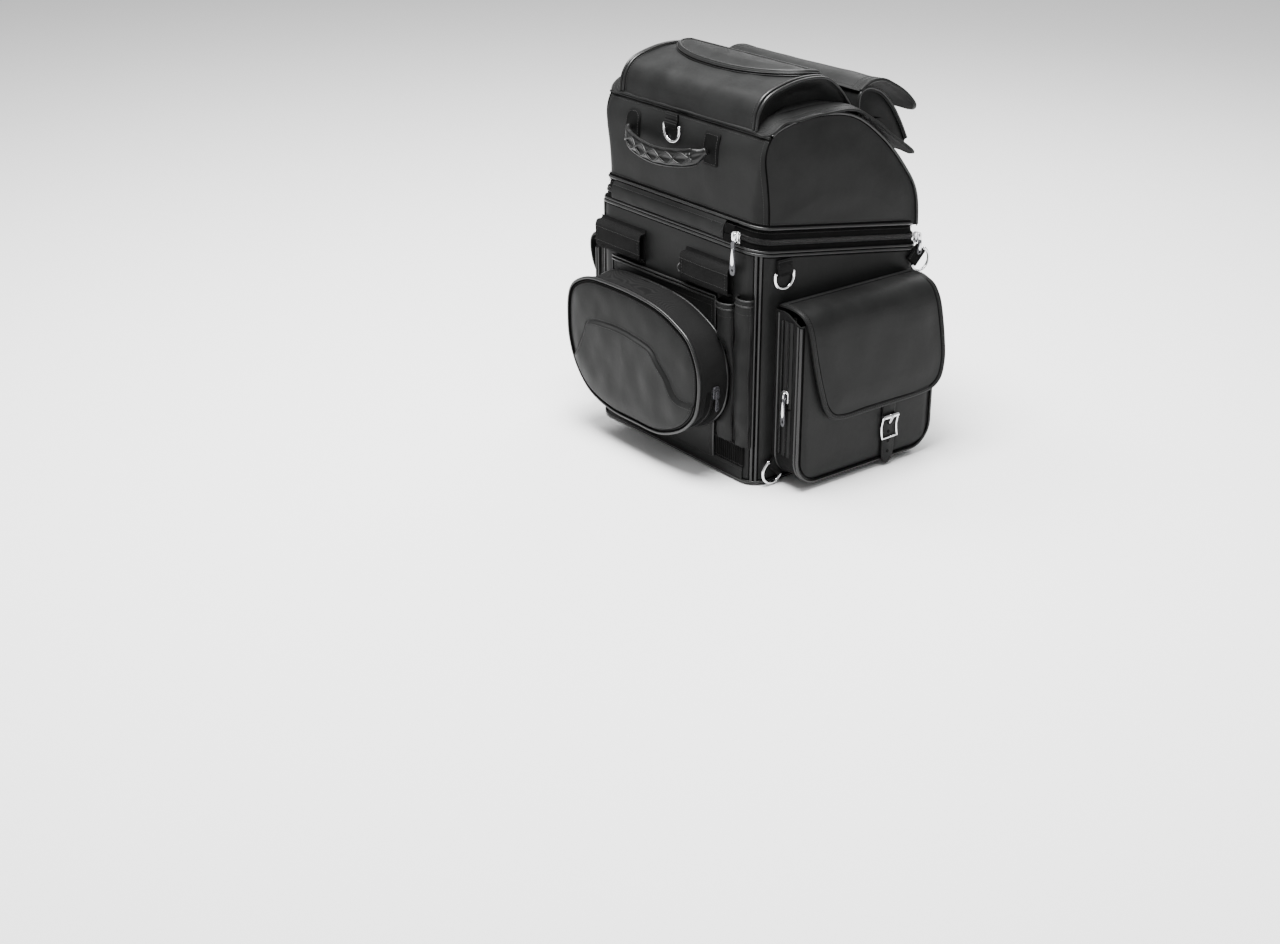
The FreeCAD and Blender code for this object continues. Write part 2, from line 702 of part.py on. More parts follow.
save("lid_front_panel", lid_front())
save("lid_crown_panel", lid_crown())
save("lid_side_panels", lid_sides())
save("lid_piping", lid_beads())
save("lid_strip", lid_strip())
save("zip_tape_upper", upper_tape())
save("zip_teeth_upper", upper_teeth())
save("apron", apron())
save("roll_shell", roll_shell())
save("top_bag_piping", Part.makeCompound(roll_beads().Solids + rear_beads().Solids))
save("roll_cover", roll_cover())
save("rear_pocket", rear_pocket())
save("top_flap", top_flap())
save("handle", handle())
save("lid_ring", set_on(ring(), LID_RING[0], LID_RING[1]))
lid_ring_tab = set_on(tab(LID_RING[2]), LID_RING[0], LID_RING[1])
save("lid_tabs", Part.makeCompound(handle_anchors().Solids + lid_ring_tab.Solids))
save("slider_front", slider_front())
save("pull_front", pull_front())
save("slider_rear", slider_rear())
save("pull_rear", pull_rear())
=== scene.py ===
import math

import bpy
import numpy as np
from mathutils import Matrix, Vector, noise


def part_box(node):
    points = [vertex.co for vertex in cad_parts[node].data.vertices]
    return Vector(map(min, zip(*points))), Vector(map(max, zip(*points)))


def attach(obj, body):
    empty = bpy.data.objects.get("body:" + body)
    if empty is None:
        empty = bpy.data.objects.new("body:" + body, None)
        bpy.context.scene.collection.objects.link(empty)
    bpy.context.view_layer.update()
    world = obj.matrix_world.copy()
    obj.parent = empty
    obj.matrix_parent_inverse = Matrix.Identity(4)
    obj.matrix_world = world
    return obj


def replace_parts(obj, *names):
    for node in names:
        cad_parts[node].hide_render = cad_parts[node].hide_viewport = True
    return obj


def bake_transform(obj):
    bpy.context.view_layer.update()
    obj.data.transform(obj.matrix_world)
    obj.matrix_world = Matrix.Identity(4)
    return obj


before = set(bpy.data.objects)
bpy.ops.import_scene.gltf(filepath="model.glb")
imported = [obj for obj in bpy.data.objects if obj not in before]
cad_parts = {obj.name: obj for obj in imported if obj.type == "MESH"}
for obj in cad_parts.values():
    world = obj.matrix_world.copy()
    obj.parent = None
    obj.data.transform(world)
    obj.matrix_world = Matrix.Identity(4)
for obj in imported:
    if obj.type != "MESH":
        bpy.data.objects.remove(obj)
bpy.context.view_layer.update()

# All lengths below are millimetres until a mesh is made: X across the bag, Y to the back, Z up.
MM = 0.001
BODY_X, BODY_Y, CORNER = 180.0, 156.0, 26.0
SLOPE, RIM, LID_RIM, ZIP_MID = 0.155, 346.0, 377.5, 361.5
LID_X = 175.0
TAU = 2 * math.pi
EDGE_ROUND = 0.5
PROUD = (0, -0.2, 0)  # lifts a stitch off a surface that faces the front


# ---------------------------------------------------------------- materials

def nodes_of(name, base, rough, metallic=0.0):
    mat = bpy.data.materials.new(name)
    mat.use_nodes = True
    tree = mat.node_tree
    shader = tree.nodes["Principled BSDF"]
    shader.inputs["Base Color"].default_value = (*base, 1)
    shader.inputs["Roughness"].default_value = rough
    shader.inputs["Metallic"].default_value = metallic
    return mat, tree, shader


def node(tree, kind, **values):
    made = tree.nodes.new(kind)
    for key, value in values.items():
        if key in made.inputs:
            made.inputs[key].default_value = value
        else:
            setattr(made, key, value)
    return made


def link(tree, a, out, b, into):
    tree.links.new(a.outputs[out], b.inputs[into])


def coords(tree):
    place = node(tree, "ShaderNodeTexCoord")
    mapping = node(tree, "ShaderNodeMapping")
    link(tree, place, "Object", mapping, "Vector")
    return mapping


def ramp(tree, source, out, stops):
    made = node(tree, "ShaderNodeValToRGB")
    made.color_ramp.elements[0].position = stops[0][0]
    made.color_ramp.elements[0].color = (*stops[0][1], 1)
    made.color_ramp.elements[1].position = stops[1][0]
    made.color_ramp.elements[1].color = (*stops[1][1], 1)
    link(tree, source, out, made, "Fac")
    return made


def grey(value):
    return (value, value, value)


CLOTH_ROUGH, WAVES = 0.86, 500.0
TINT = (1.0, 1.02, 1.01)


def leather(name, dark, light, rough_low, rough_high, grain=1.0, crease=1.0, shine=0.095):
    """Pebbled leather: fine cells over broad softness, with worn, slightly greyer patches."""
    mat, tree, shader = nodes_of(name, dark, rough_low)
    where = coords(tree)
    cells = node(tree, "ShaderNodeTexVoronoi", Scale=620.0 / grain)
    cells.feature = "DISTANCE_TO_EDGE"
    warp = node(tree, "ShaderNodeTexNoise", Scale=240.0, Detail=3.0)
    blend = node(tree, "ShaderNodeMix", data_type="VECTOR")
    blend.inputs[0].default_value = 0.004
    link(tree, where, "Vector", warp, "Vector")
    tree.links.new(where.outputs["Vector"], blend.inputs[4])
    tree.links.new(warp.outputs["Color"], blend.inputs[5])
    tree.links.new(blend.outputs[1], cells.inputs["Vector"])
    pores = node(tree, "ShaderNodeTexNoise", Scale=1900.0 / grain, Detail=2.0)
    soft = node(tree, "ShaderNodeTexNoise", Scale=17.0, Detail=4.0, Roughness=0.55)
    link(tree, where, "Vector", pores, "Vector")
    link(tree, where, "Vector", soft, "Vector")
    a, b = [tuple(v * t for v, t in zip(c, TINT)) for c in (dark, light)]
    colour = ramp(tree, soft, "Fac", [(0.32, a), (0.72, b)])
    tree.links.new(colour.outputs["Color"], shader.inputs["Base Color"])
    rough = node(tree, "ShaderNodeMapRange")
    rough.inputs["From Min"].default_value = 0.3
    rough.inputs["From Max"].default_value = 0.7
    rough.inputs["To Min"].default_value = rough_low
    rough.inputs["To Max"].default_value = rough_high
    link(tree, soft, "Fac", rough, "Value")
    link(tree, rough, "Result", shader, "Roughness")
    fine = node(tree, "ShaderNodeBump", Strength=0.30, Distance=0.00022)
    link(tree, cells, "Distance", fine, "Height")
    tiny = node(tree, "ShaderNodeBump", Strength=0.22, Distance=0.00010)
    link(tree, pores, "Fac", tiny, "Height")
    link(tree, fine, "Normal", tiny, "Normal")
    broad = node(tree, "ShaderNodeTexNoise", Scale=34.0, Detail=3.0, Roughness=0.6)
    link(tree, where, "Vector", broad, "Vector")
    fold = node(tree, "ShaderNodeBump", Strength=0.25 * crease, Distance=0.0016)
    link(tree, broad, "Fac", fold, "Height")
    link(tree, tiny, "Normal", fold, "Normal")
    link(tree, fold, "Normal", shader, "Normal")
    shader.inputs["Specular IOR Level"].default_value = shine
    return mat


def woven(name, dark, light, along, rib, depth=0.0006):
    """Ribbed webbing or tape: ribs about 0.63 x rib millimetres apart, crossed by a finer weave."""
    mat, tree, shader = nodes_of(name, dark, CLOTH_ROUGH)
    where = coords(tree)
    ribs = node(tree, "ShaderNodeTexWave", Scale=WAVES / rib)
    ribs.bands_direction = along
    ribs.inputs["Distortion"].default_value = 0.6
    ribs.inputs["Detail Scale"].default_value = 3.0
    link(tree, where, "Vector", ribs, "Vector")
    weave = node(tree, "ShaderNodeTexNoise", Scale=1300.0, Detail=2.0)
    link(tree, where, "Vector", weave, "Vector")
    colour = ramp(tree, ribs, "Fac", [(0.15, dark), (0.9, light)])
    tree.links.new(colour.outputs["Color"], shader.inputs["Base Color"])
    bump = node(tree, "ShaderNodeBump", Strength=0.8, Distance=depth)
    link(tree, ribs, "Fac", bump, "Height")
    fuzz = node(tree, "ShaderNodeBump", Strength=0.5, Distance=0.00015)
    link(tree, weave, "Fac", fuzz, "Height")
    link(tree, bump, "Normal", fuzz, "Normal")
    link(tree, fuzz, "Normal", shader, "Normal")
    shader.inputs["Sheen Weight"].default_value = 0.01
    shader.inputs["Specular IOR Level"].default_value = 0.06
    return mat


def polished(name, base, rough, metallic=1.0):
    """Plated metal with faint scuffs."""
    mat, tree, shader = nodes_of(name, base, rough, metallic)
    where = coords(tree)
    scuff = node(tree, "ShaderNodeTexNoise", Scale=420.0, Detail=5.0, Roughness=0.7)
    link(tree, where, "Vector", scuff, "Vector")
    level = node(tree, "ShaderNodeMapRange")
    level.inputs["To Min"].default_value = rough * 0.6
    level.inputs["To Max"].default_value = rough * 1.9
    link(tree, scuff, "Fac", level, "Value")
    link(tree, level, "Result", shader, "Roughness")
    dents = node(tree, "ShaderNodeBump", Strength=0.12, Distance=0.0002)
    link(tree, scuff, "Fac", dents, "Height")
    link(tree, dents, "Normal", shader, "Normal")
    return mat


def plain(name, base, rough, scale, depth, shine=0.5):
    mat, tree, shader = nodes_of(name, base, rough)
    where = coords(tree)
    grain = node(tree, "ShaderNodeTexNoise", Scale=scale, Detail=4.0)
    link(tree, where, "Vector", grain, "Vector")
    bump = node(tree, "ShaderNodeBump", Strength=0.5, Distance=depth)
    link(tree, grain, "Fac", bump, "Height")
    link(tree, bump, "Normal", shader, "Normal")
    tone = ramp(tree, grain, "Fac", [(0.3, tuple(v * 0.75 for v in base)),
                                     (0.75, tuple(v * 1.25 for v in base))])
    shader.inputs["Specular IOR Level"].default_value = shine
    tree.links.new(tone.outputs["Color"], shader.inputs["Base Color"])
    return mat


LEATHER = leather("black_leather", grey(0.0065), grey(0.0105), 0.43, 0.55)
SOFT = leather("padded_leather", grey(0.0075), grey(0.0115), 0.43, 0.55, crease=1.3)
CORD = leather("piping_leather", grey(0.005), grey(0.008), 0.30, 0.40, grain=0.8, crease=0.3, shine=0.36)
UNDER = leather("leather_underside", grey(0.005), grey(0.008), 0.75, 0.85, shine=0.1)
# Painted shade: near-black, matte leather for thin lines laid along seams and beside piping, where shade
# falls.
SEAM_SHADE = leather("seam_shadow", grey(0.0015), grey(0.003), 0.85, 0.95, shine=0.02)
CARVED = leather("carved_leather", grey(0.003), grey(0.006), 0.32, 0.44, grain=0.7, crease=0.6, shine=0.30)
WEB = woven("wide_webbing", grey(0.002), grey(0.009), "X", 2.1)
WEB_Y = woven("tab_webbing", grey(0.002), grey(0.009), "Y", 1.7)
TAPE = woven("zip_tape_weave", grey(0.0012), grey(0.004), "Z", 1.5, depth=0.0003)
ELASTIC = woven("elastic_weave", grey(0.0012), grey(0.006), "X", 3.2)
COIL = plain("zip_coil_plastic", grey(0.006), 0.28, 900.0, 0.0001, 0.22)
THREAD = plain("thread", grey(0.020), 0.6, 2500.0, 0.0001, 0.2)
# Painted shade: a darker, duller copy of the black leather, used on the handle anchors under the grip.
DARK = leather("shaded_leather", grey(0.0022), grey(0.0045), 0.60, 0.72, shine=0.05)
LINING = woven("lining_cloth", grey(0.004), grey(0.009), "Z", 1.2, depth=0.0002)
BOARD = plain("stiff_board", grey(0.05), 0.6, 300.0, 0.0002)
CHROME = polished("chrome_plate", (0.80, 0.80, 0.81), 0.10)
BLACK_CHROME = polished("dark_enamel", (0.05, 0.05, 0.055), 0.22, 0.6)


# ---------------------------------------------------------------- mesh tools

def arr(points):
    return np.array(points, float)


def catmull(points, count, closed=False):
    """Evenly spaced points on a smooth curve through the given ones."""
    p = arr(points)
    if closed:
        ext = np.vstack([p[-1], p, p[0], p[1]])
        spans = len(p)
    else:
        ext = np.vstack([2 * p[0] - p[1], p, 2 * p[-1] - p[-2]])
        spans = len(p) - 1
    dense = []
    for i in range(spans):
        a, b, c, d = ext[i:i + 4]
        knots = [0.0]
        for q, r in ((a, b), (b, c), (c, d)):
            knots.append(knots[-1] + max(np.linalg.norm(r - q), 1e-6) ** 0.5)
        t0, t1, t2, t3 = knots
        for t in np.linspace(t1, t2, 24, endpoint=False):
            a1 = (t1 - t) / (t1 - t0) * a + (t - t0) / (t1 - t0) * b
            a2 = (t2 - t) / (t2 - t1) * b + (t - t1) / (t2 - t1) * c
            a3 = (t3 - t) / (t3 - t2) * c + (t - t2) / (t3 - t2) * d
            b1 = (t2 - t) / (t2 - t0) * a1 + (t - t0) / (t2 - t0) * a2
            b2 = (t3 - t) / (t3 - t1) * a2 + (t - t1) / (t3 - t1) * a3
            dense.append((t2 - t) / (t2 - t1) * b1 + (t - t1) / (t2 - t1) * b2)
    dense.append(p[0] if closed else p[-1])
    return spaced(arr(dense), count, closed)


def spaced(line, count, closed=False):
    line = arr(line)
    steps = np.r_[0, np.cumsum(np.linalg.norm(np.diff(line, axis=0), axis=1))]
    at = np.linspace(0, steps[-1], count + 1 if closed else count)
    out = np.stack([np.interp(at, steps, line[:, k]) for k in range(line.shape[1])], axis=1)
    return out[:-1] if closed else out


def length_of(line):
    return float(np.linalg.norm(np.diff(arr(line), axis=0), axis=1).sum())


def polar(cx, cy, r, degrees):
    """Point on a circle about (cx, cy)."""
    a = math.radians(degrees)
    return cx + r * math.cos(a), cy + r * math.sin(a)


def clouds(points, size, seed=0.0):
    """Smooth noise at each point, the same on every run; size is the width of a swell."""
    return arr([noise.noise(Vector(q)) for q in points / size + seed])


def over_profile(xs, line):
    """Grid of a (Y, Z) line carried along X."""
    line = arr(line)
    p = np.zeros((len(xs), len(line), 3))
    p[:, :, 0] = xs[:, None]
    p[:, :, 1:] = line[None]
    return p


def smooth01(x):
    x = np.clip(x, 0, 1)
    return x * x * (3 - 2 * x)


def normals_2d(line, closed=False):
    """Unit normals to the left of the direction of travel."""
    if closed:
        d = np.roll(line, -1, 0) - np.roll(line, 1, 0)
    else:
        d = np.gradient(line, axis=0)
    d = d / np.linalg.norm(d, axis=1)[:, None]
    return np.stack([-d[:, 1], d[:, 0]], axis=1)


def mesh(name, verts, faces, materials, body, face_materials=None):
    data = bpy.data.meshes.new(name)
    data.from_pydata([tuple(v) for v in arr(verts) * MM], [], [tuple(f) for f in faces])
    for m in materials:
        data.materials.append(m)
    if face_materials is not None:
        data.polygons.foreach_set("material_index", np.array(face_materials, np.int32))
    data.polygons.foreach_set("use_smooth", np.full(len(data.polygons), True))
    data.update()
    made = bpy.data.objects.new(name, data)
    bpy.context.scene.collection.objects.link(made)
    if body:
        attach(made, body)
    return made


def grid_normals(p, wrap=False):
    if wrap:
        du = np.roll(p, -1, 0) - np.roll(p, 1, 0)
    else:
        du = np.gradient(p, axis=0)
    dv = np.gradient(p, axis=1)
    n = np.cross(du, dv)
    return n / np.maximum(np.linalg.norm(n, axis=2), 1e-9)[:, :, None]


def ripple(p, amount, size, seed=0.0):
    """Low soft unevenness, the same on every run."""
    return (clouds(p.reshape(-1, 3), size, seed) * amount).reshape(p.shape[:2])


def sheet_data(p, thick, wrap=False, flip=False):
    """Vertices and faces of a sheet with thickness behind its outer surface, and which faces are inside."""
    n = grid_normals(p, wrap) * (-1 if flip else 1)
    outer, inner = p.reshape(-1, 3), (p - n * thick).reshape(-1, 3)
    nu, nv = p.shape[:2]
    verts = [outer, inner]
    faces, inside = [], []
    count = nu * nv
    last = nu if wrap else nu - 1
    for i in range(last):
        for j in range(nv - 1):
            a, b = i * nv + j, ((i + 1) % nu) * nv + j
            quad = (a, b, b + 1, a + 1)
            faces.append(quad[::-1] if flip else quad)
            inside.append(0)
            back = tuple(v + count for v in (a, a + 1, b + 1, b))
            faces.append(back[::-1] if flip else back)
            inside.append(1)
    edges = []
    if not wrap:
        edges.append([(0, j) for j in range(nv)][::-1])
        edges.append([(nu - 1, j) for j in range(nv)])
    ring = list(range(nu)) + ([0] if wrap else [])
    edges.append([(i, 0) for i in ring])
    edges.append([(i, nv - 1) for i in ring][::-1])
    base = 2 * count
    for line in edges:
        ids = [i * nv + j for i, j in line]
        verts += [outer[ids], inner[ids]]
        k = len(ids)
        for m in range(k - 1):
            quad = (base + m, base + k + m, base + k + m + 1, base + m + 1)
            faces.append(quad[::-1] if flip else quad)
            inside.append(0)
        base += 2 * k
    return np.vstack(verts), faces, inside


def mirror_if(side, verts, faces):
    if side > 0:
        return verts, faces
    return verts * arr([-1, 1, 1]), [tuple(f)[::-1] for f in faces]


def sheet(name, p, thick, materials, body, wrap=False, flip=False, side=1):
    verts, faces, inside = sheet_data(arr(p), thick, wrap, flip)
    verts, faces = mirror_if(side, verts, faces)
    return mesh(name, verts, faces, materials, body, inside if len(materials) > 1 else None)


def patch_data(boundary, centre, rings, lift, power=1.0):
    """Closed boundary filled towards a centre; lift(points, share) gives the offset of each point."""
    boundary, centre = arr(boundary), arr(centre)
    n = len(boundary)
    verts, faces = [], []
    for k in range(rings):
        share = 1 - (k / rings) ** power
        points = centre + (boundary - centre) * share
        verts.append(points + lift(points, share))
    verts.append((centre[None] + lift(centre[None], 0.0)))
    for k in range(rings - 1):
        for i in range(n):
            a, b = k * n + i, k * n + (i + 1) % n
            faces.append((a, b, b + n, a + n))
    tip = rings * n
    for i in range(n):
        faces.append(((rings - 1) * n + i, (rings - 1) * n + (i + 1) % n, tip))
    return np.vstack(verts), faces


def closed_shell(verts, back, faces, n, flip=False):
    """Front and back faces joined by a wall along the first n points, and which faces are inside."""
    count = len(verts)
    every = np.vstack([verts, back, verts[:n], back[:n]])
    all_faces = list(faces) + [tuple(v + count for v in f)[::-1] for f in faces]
    inside = [0] * len(faces) + [1] * len(faces)
    for i in range(n):
        j = (i + 1) % n
        quad = (2 * count + i, 2 * count + n + i, 2 * count + n + j, 2 * count + j)
        all_faces.append(quad[::-1] if flip else quad)
        inside.append(0)
    return every, all_faces, inside


def patch(name, boundary, centre, rings, lift, inward, materials, body, side=1, flip=False):
    """Panel with a back face set inward by a vector."""
    verts, faces = patch_data(boundary, centre, rings, lift)
    if flip:
        faces = [f[::-1] for f in faces]
    every, all_faces, inside = closed_shell(verts, verts + arr(inward), faces, len(boundary), flip)
    every, all_faces = mirror_if(side, every, all_faces)
    return mesh(name, every, all_faces, materials, body, inside if len(materials) > 1 else None)


def loft_data(rings):
    rings = arr(rings)
    n, m = rings.shape[:2]
    verts = [rings.reshape(-1, 3)]
    faces = []
    for i in range(n - 1):
        for j in range(m):
            a, b = i * m + j, i * m + (j + 1) % m
            faces.append((a, b, b + m, a + m))
    faces.append(tuple(range(m))[::-1])
    faces.append(tuple((n - 1) * m + j for j in range(m)))
    return np.vstack(verts), faces


def band_rings(path, across, width, thick, taper=None):
    """Rounded flat section swept along a path; across is the width direction."""
    path, across = arr(path), arr(across)
    along = np.gradient(path, axis=0)
    along /= np.linalg.norm(along, axis=1)[:, None]
    across = np.broadcast_to(across, path.shape)
    across = across - (across * along).sum(1)[:, None] * along
    across = across / np.linalg.norm(across, axis=1)[:, None]
    out = np.cross(along, across)
    r = thick / 2
    rings = []
    for i in range(len(path)):
        w = (width if taper is None else width * taper[i]) / 2 - r
        w = max(w, 0.05)
        ring = []
        for middle, start in ((w, -90), (-w, 90)):
            for a in np.radians(np.linspace(start, start + 180, 5)):
                ring.append(path[i] + across[i] * (middle + r * math.cos(a)) + out[i] * r * math.sin(a))
        rings.append(ring)
    return rings


def band(name, path, across, width, thick, material, body, side=1, taper=None):
    verts, faces = loft_data(band_rings(path, across, width, thick, taper))
    verts, faces = mirror_if(side, verts, faces)
    return mesh(name, verts, faces, [material], body)


def ropes(name, lines, radius, material, body, closed=()):
    """Round cords as one curve object; closed lists the indices of closed ones."""
    data = bpy.data.curves.new(name, "CURVE")
    data.dimensions = "3D"
    data.bevel_depth = radius * MM
    data.bevel_resolution = 3
    data.use_fill_caps = True
    for k, line in enumerate(lines):
        spline = data.splines.new("POLY")
        spline.points.add(len(line) - 1)
        flat = np.c_[arr(line) * MM, np.ones(len(line))]
        spline.points.foreach_set("co", flat.ravel())
        spline.use_cyclic_u = k in closed
        spline.use_smooth = True
    data.materials.append(material)
    made = bpy.data.objects.new(name, data)
    bpy.context.scene.collection.objects.link(made)
    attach(made, body)
    return made


def rods(name, points, ways, shape, long, radius, material, body):
    """Many small six-sided rods as one mesh; shape lists (share of the length, share of the radius)."""
    verts, faces = [], []
    for k, (p, t) in enumerate(zip(points, ways)):
        u = np.cross(t, arr([0, 0, 1]) if abs(t[2]) < 0.8 else arr([1, 0, 0]))
        u /= np.linalg.norm(u)
        w = np.cross(t, u)
        for along, fat in shape:
            for a in [TAU * q / 6 for q in range(6)]:
                verts.append(p + t * along * long + (u * math.cos(a) + w * math.sin(a)) * radius * fat)
        base = 24 * k
        for s in range(3):
            for q in range(6):
                a, b = base + s * 6 + q, base + s * 6 + (q + 1) % 6
                faces.append((a, b, b + 6, a + 6))
        faces.append(tuple(base + q for q in range(6))[::-1])
        faces.append(tuple(base + 18 + q for q in range(6)))
    return mesh(name, arr(verts), faces, [material], body)


STITCH_SHAPE = ((-0.5, 0.35), (-0.25, 1.0), (0.25, 1.0), (0.5, 0.35))


def stitches(name, rows, body, pitch=3.4, long=2.3, radius=0.42):
    """Rows of single raised stitches along lines that lie on a surface."""
    points, ways = [], []
    for row in rows:
        mid = spaced(row, max(int(length_of(row) / pitch), 2))
        ahead = np.gradient(mid, axis=0)
        ahead /= np.maximum(np.linalg.norm(ahead, axis=1)[:, None], 1e-9)
        points.extend(mid)
        ways.extend(ahead)
    return rods(name, points, ways, STITCH_SHAPE, long, radius, THREAD, body)


def extruded(name, outline, hole, frame_axes, thick, material, body, side=1):
    """Flat plate from an outline, with or without a hole, in a local frame (origin, u, v, normal)."""
    origin, u, v, n = [arr(q) for q in frame_axes]
    outline = arr(outline)
    m = len(outline)
    loops = [outline]
    if hole is not None:
        loops.append(arr(hole))
    verts = []
    for level in (0, thick):
        for loop in loops:
            verts += [origin + u * a + v * b + n * level for a, b in loop]
    faces = []
    step = m * len(loops)
    if hole is None:
        faces.append(tuple(range(m))[::-1])
        faces.append(tuple(step + i for i in range(m)))
        for i in range(m):
            j = (i + 1) % m
            faces.append((i, j, step + j, step + i))
    else:
        for i in range(m):
            j = (i + 1) % m
            faces.append((i, m + i, m + j, j))
            faces.append((step + i, step + j, step + m + j, step + m + i))
            faces.append((i, j, step + j, step + i))
            faces.append((m + i, step + m + i, step + m + j, m + j))
    verts, faces = mirror_if(side, arr(verts), faces)
    made = mesh(name, verts, faces, [material], body)
    edge = made.modifiers.new("edge", "BEVEL")
    edge.width = EDGE_ROUND * MM
    edge.segments = 2
    edge.limit_method = "ANGLE"
    edge.angle_limit = 0.6
    edge.harden_normals = True
    return made


def sides():
    return ((1, "right"), (-1, "left"))


def mirrored_line(line, side):
    return arr(line) * arr([side, 1, 1])


# ---------------------------------------------------------------- shared outlines

def rim_z(height, y):
    return height - SLOPE * (y + BODY_Y)


def plan_loop(hx, y0, y1, r, step=6.0):
    """Closed rounded rectangle in plan, from the middle of the front, towards +X."""
    line = []
    for cx, cy, a0 in ((hx - r, y0 + r, -90), (hx - r, y1 - r, 0), (-hx + r, y1 - r, 90),
                       (-hx + r, y0 + r, 180)):
        line += [polar(cx, cy, r, a) for a in np.linspace(a0, a0 + 90, 13)]
    line = [(0, y0)] + line + [(0, y0)]
    return spaced(line, int(length_of(line) / step), closed=True)


def rim_loop(hx, y0, y1, r, height):
    loop = plan_loop(hx, y0, y1, r)
    return np.c_[loop, rim_z(height, loop[:, 1])]


def open_run(loop, x0, x1):
    """The part of a rim loop that leaves out the front strip between x0 and x1."""
    front = loop[:, 1] < -100
    gone = front & (loop[:, 0] > x0) & (loop[:, 0] < x1)
    keep = ~gone
    start = next(i for i in range(len(loop)) if keep[i] and gone[i - 1])
    order = [(start + k) % len(loop) for k in range(int(keep.sum()))]
    return loop[order]


LID_OUTLINE = [(-147, 340), (-147, 440), (-145, 480), (-133, 503), (-110, 513.5), (-50, 520), (13, 510),
               (68, 474),
               (116, 424), (144, 380), (152, 300)]
APRON_LINE = [(-138, 506), (-118, 519.5), (-80, 524), (-35, 525.5), (20, 521), (52, 504), (81, 482),
              (110, 460),
              (141, 438)]
ROLL_LINE = [(-138, 505), (-134, 530), (-120, 548), (-85, 560), (-45, 564), (-12, 559), (13, 540), (40, 505)]
REAR_LINE = [(50, 495), (53, 528), (66, 535), (90, 528), (113, 508), (134, 478), (148, 452)]
FLAP_LINE = [(51, 534), (63, 541), (78, 545), (98, 543), (120, 533), (141, 520), (158, 506), (174, 489)]
POUCH_LINE = [(-177, 203), (-169, 221), (-151, 234), (-126, 243), (-92, 246), (-25, 246), (33, 240),
              (71, 228),
              (103, 210), (122, 178), (126, 143), (119, 107), (105, 88), (86, 73), (41, 55), (-18, 53),
              (-77, 55),
              (-129, 71), (-161, 103), (-176, 139), (-179, 170)]

lid_profile = catmull(LID_OUTLINE, 500)
lid_profile = lid_profile[lid_profile[:, 1] > rim_z(LID_RIM, lid_profile[:, 0])]
apron_profile = catmull(APRON_LINE, 90)
roll_profile = catmull(ROLL_LINE, 300)


def apron_top(y):
    return np.interp(y, apron_profile[:, 0], apron_profile[:, 1])


def roll_top(y):
    return np.interp(y, roll_profile[:, 0], roll_profile[:, 1])


roll_profile = roll_profile[roll_profile[:, 1] > apron_top(roll_profile[:, 0]) + 0.3]


# ---------------------------------------------------------------- main body

def wall_path(half, out, count):
    """One wall from corner seam to corner seam: distance along and distance out."""
    line = []
    for a in np.linspace(-45, 0, 7):
        line.append((-(half - CORNER) + CORNER * math.sin(math.radians(a)),
                     out - CORNER + CORNER * math.cos(math.radians(a))))
    for a in np.linspace(0, 45, 7):
        line.append(((half - CORNER) + CORNER * math.sin(math.radians(a)),
                     out - CORNER + CORNER * math.cos(math.radians(a))))
    return spaced(line, count)


def wall(name, half, out, place, cad, swell, seed):
    path = wall_path(half, out, 61)
    n2 = normals_2d(path)
    levels = np.linspace(0, 1, 31)
    p = np.zeros((61, 31, 3))
    for i in range(61):
        x, y = place(*path[i])
        nx, ny = place(*n2[i])
        top = rim_z(RIM - 0.5, y)
        z = 2.5 + (top - 2.5) * levels
        u = abs(2 * i / 60 - 1)
        puff = swell * (1 - u ** 5) * (1 - np.abs(2 * levels - 1) ** 4)
        p[i, :, 0] = x + nx * puff
        p[i, :, 1] = y + ny * puff
        p[i, :, 2] = z
    p += grid_normals(p) * ripple(p, 0.9, 46.0, seed)[:, :, None] * (1 if swell > 0.5 else 0.6)
    made = sheet(name, p, 3.4, [LEATHER, LINING], "main_bag")
    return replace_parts(made, cad)


wall("wall_front", BODY_X, BODY_Y, lambda a, b: (a, -b), "front_panel", 0.4, 3.0)
wall("wall_right", BODY_Y, BODY_X, lambda a, b: (b, a), "right_side_panel", 1.6, 11.0)
wall("wall_rear", BODY_X, BODY_Y, lambda a, b: (-a, b), "rear_panel", 2.0, 7.0)
wall("wall_left", BODY_Y, BODY_X, lambda a, b: (-b, -a), "left_side_panel", 1.6, 19.0)

base_edge = plan_loop(BODY_X - 1, -BODY_Y + 1, BODY_Y - 1, CORNER, 12.0)
base_edge = np.c_[base_edge, np.full(len(base_edge), 1.5)]


def base_lift(points, share):
    tuft = 0.5 * np.sin(points[:, 0] / 14.0) * np.sin(points[:, 1] / 14.0)
    return np.c_[np.zeros((len(points), 2)), -0.9 + 0.5 * share + tuft * (share < 0.97)]


base = patch("base_skin", base_edge, (0, 0, 1.5), 18, base_lift, (0, 0, 3.4), [LEATHER, LINING], "main_bag",
             flip=True)
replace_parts(base, "base_panel")

rim_cord = rim_loop(BODY_X + 1.2, -BODY_Y - 1.2, BODY_Y + 1.2, CORNER + 1, RIM - 2.5)
rim_cord_2 = rim_loop(BODY_X + 0.6, -BODY_Y - 0.6, BODY_Y + 0.6, CORNER + 0.5, RIM + 2.2)
base_cord = plan_loop(BODY_X + 1.0, -BODY_Y - 1.0, BODY_Y + 1.0, CORNER + 1)
base_cord = np.c_[base_cord, np.full(len(base_cord), 4.2)]


def corner_lines(angles, reach, low, high):
    """Upright lines on the four rounded corners, at angles from the side."""
    made = []
    for sx in (-1, 1):
        for sy in (-1, 1):
            for angle in angles:
                a = math.radians(angle)
                x = sx * (BODY_X - CORNER + (CORNER + reach) * math.cos(a))
                y = sy * (BODY_Y - CORNER + (CORNER + reach) * math.sin(a))
                made.append([(x, y, z) for z in np.linspace(low, rim_z(RIM - high, y), 12)])
    return made


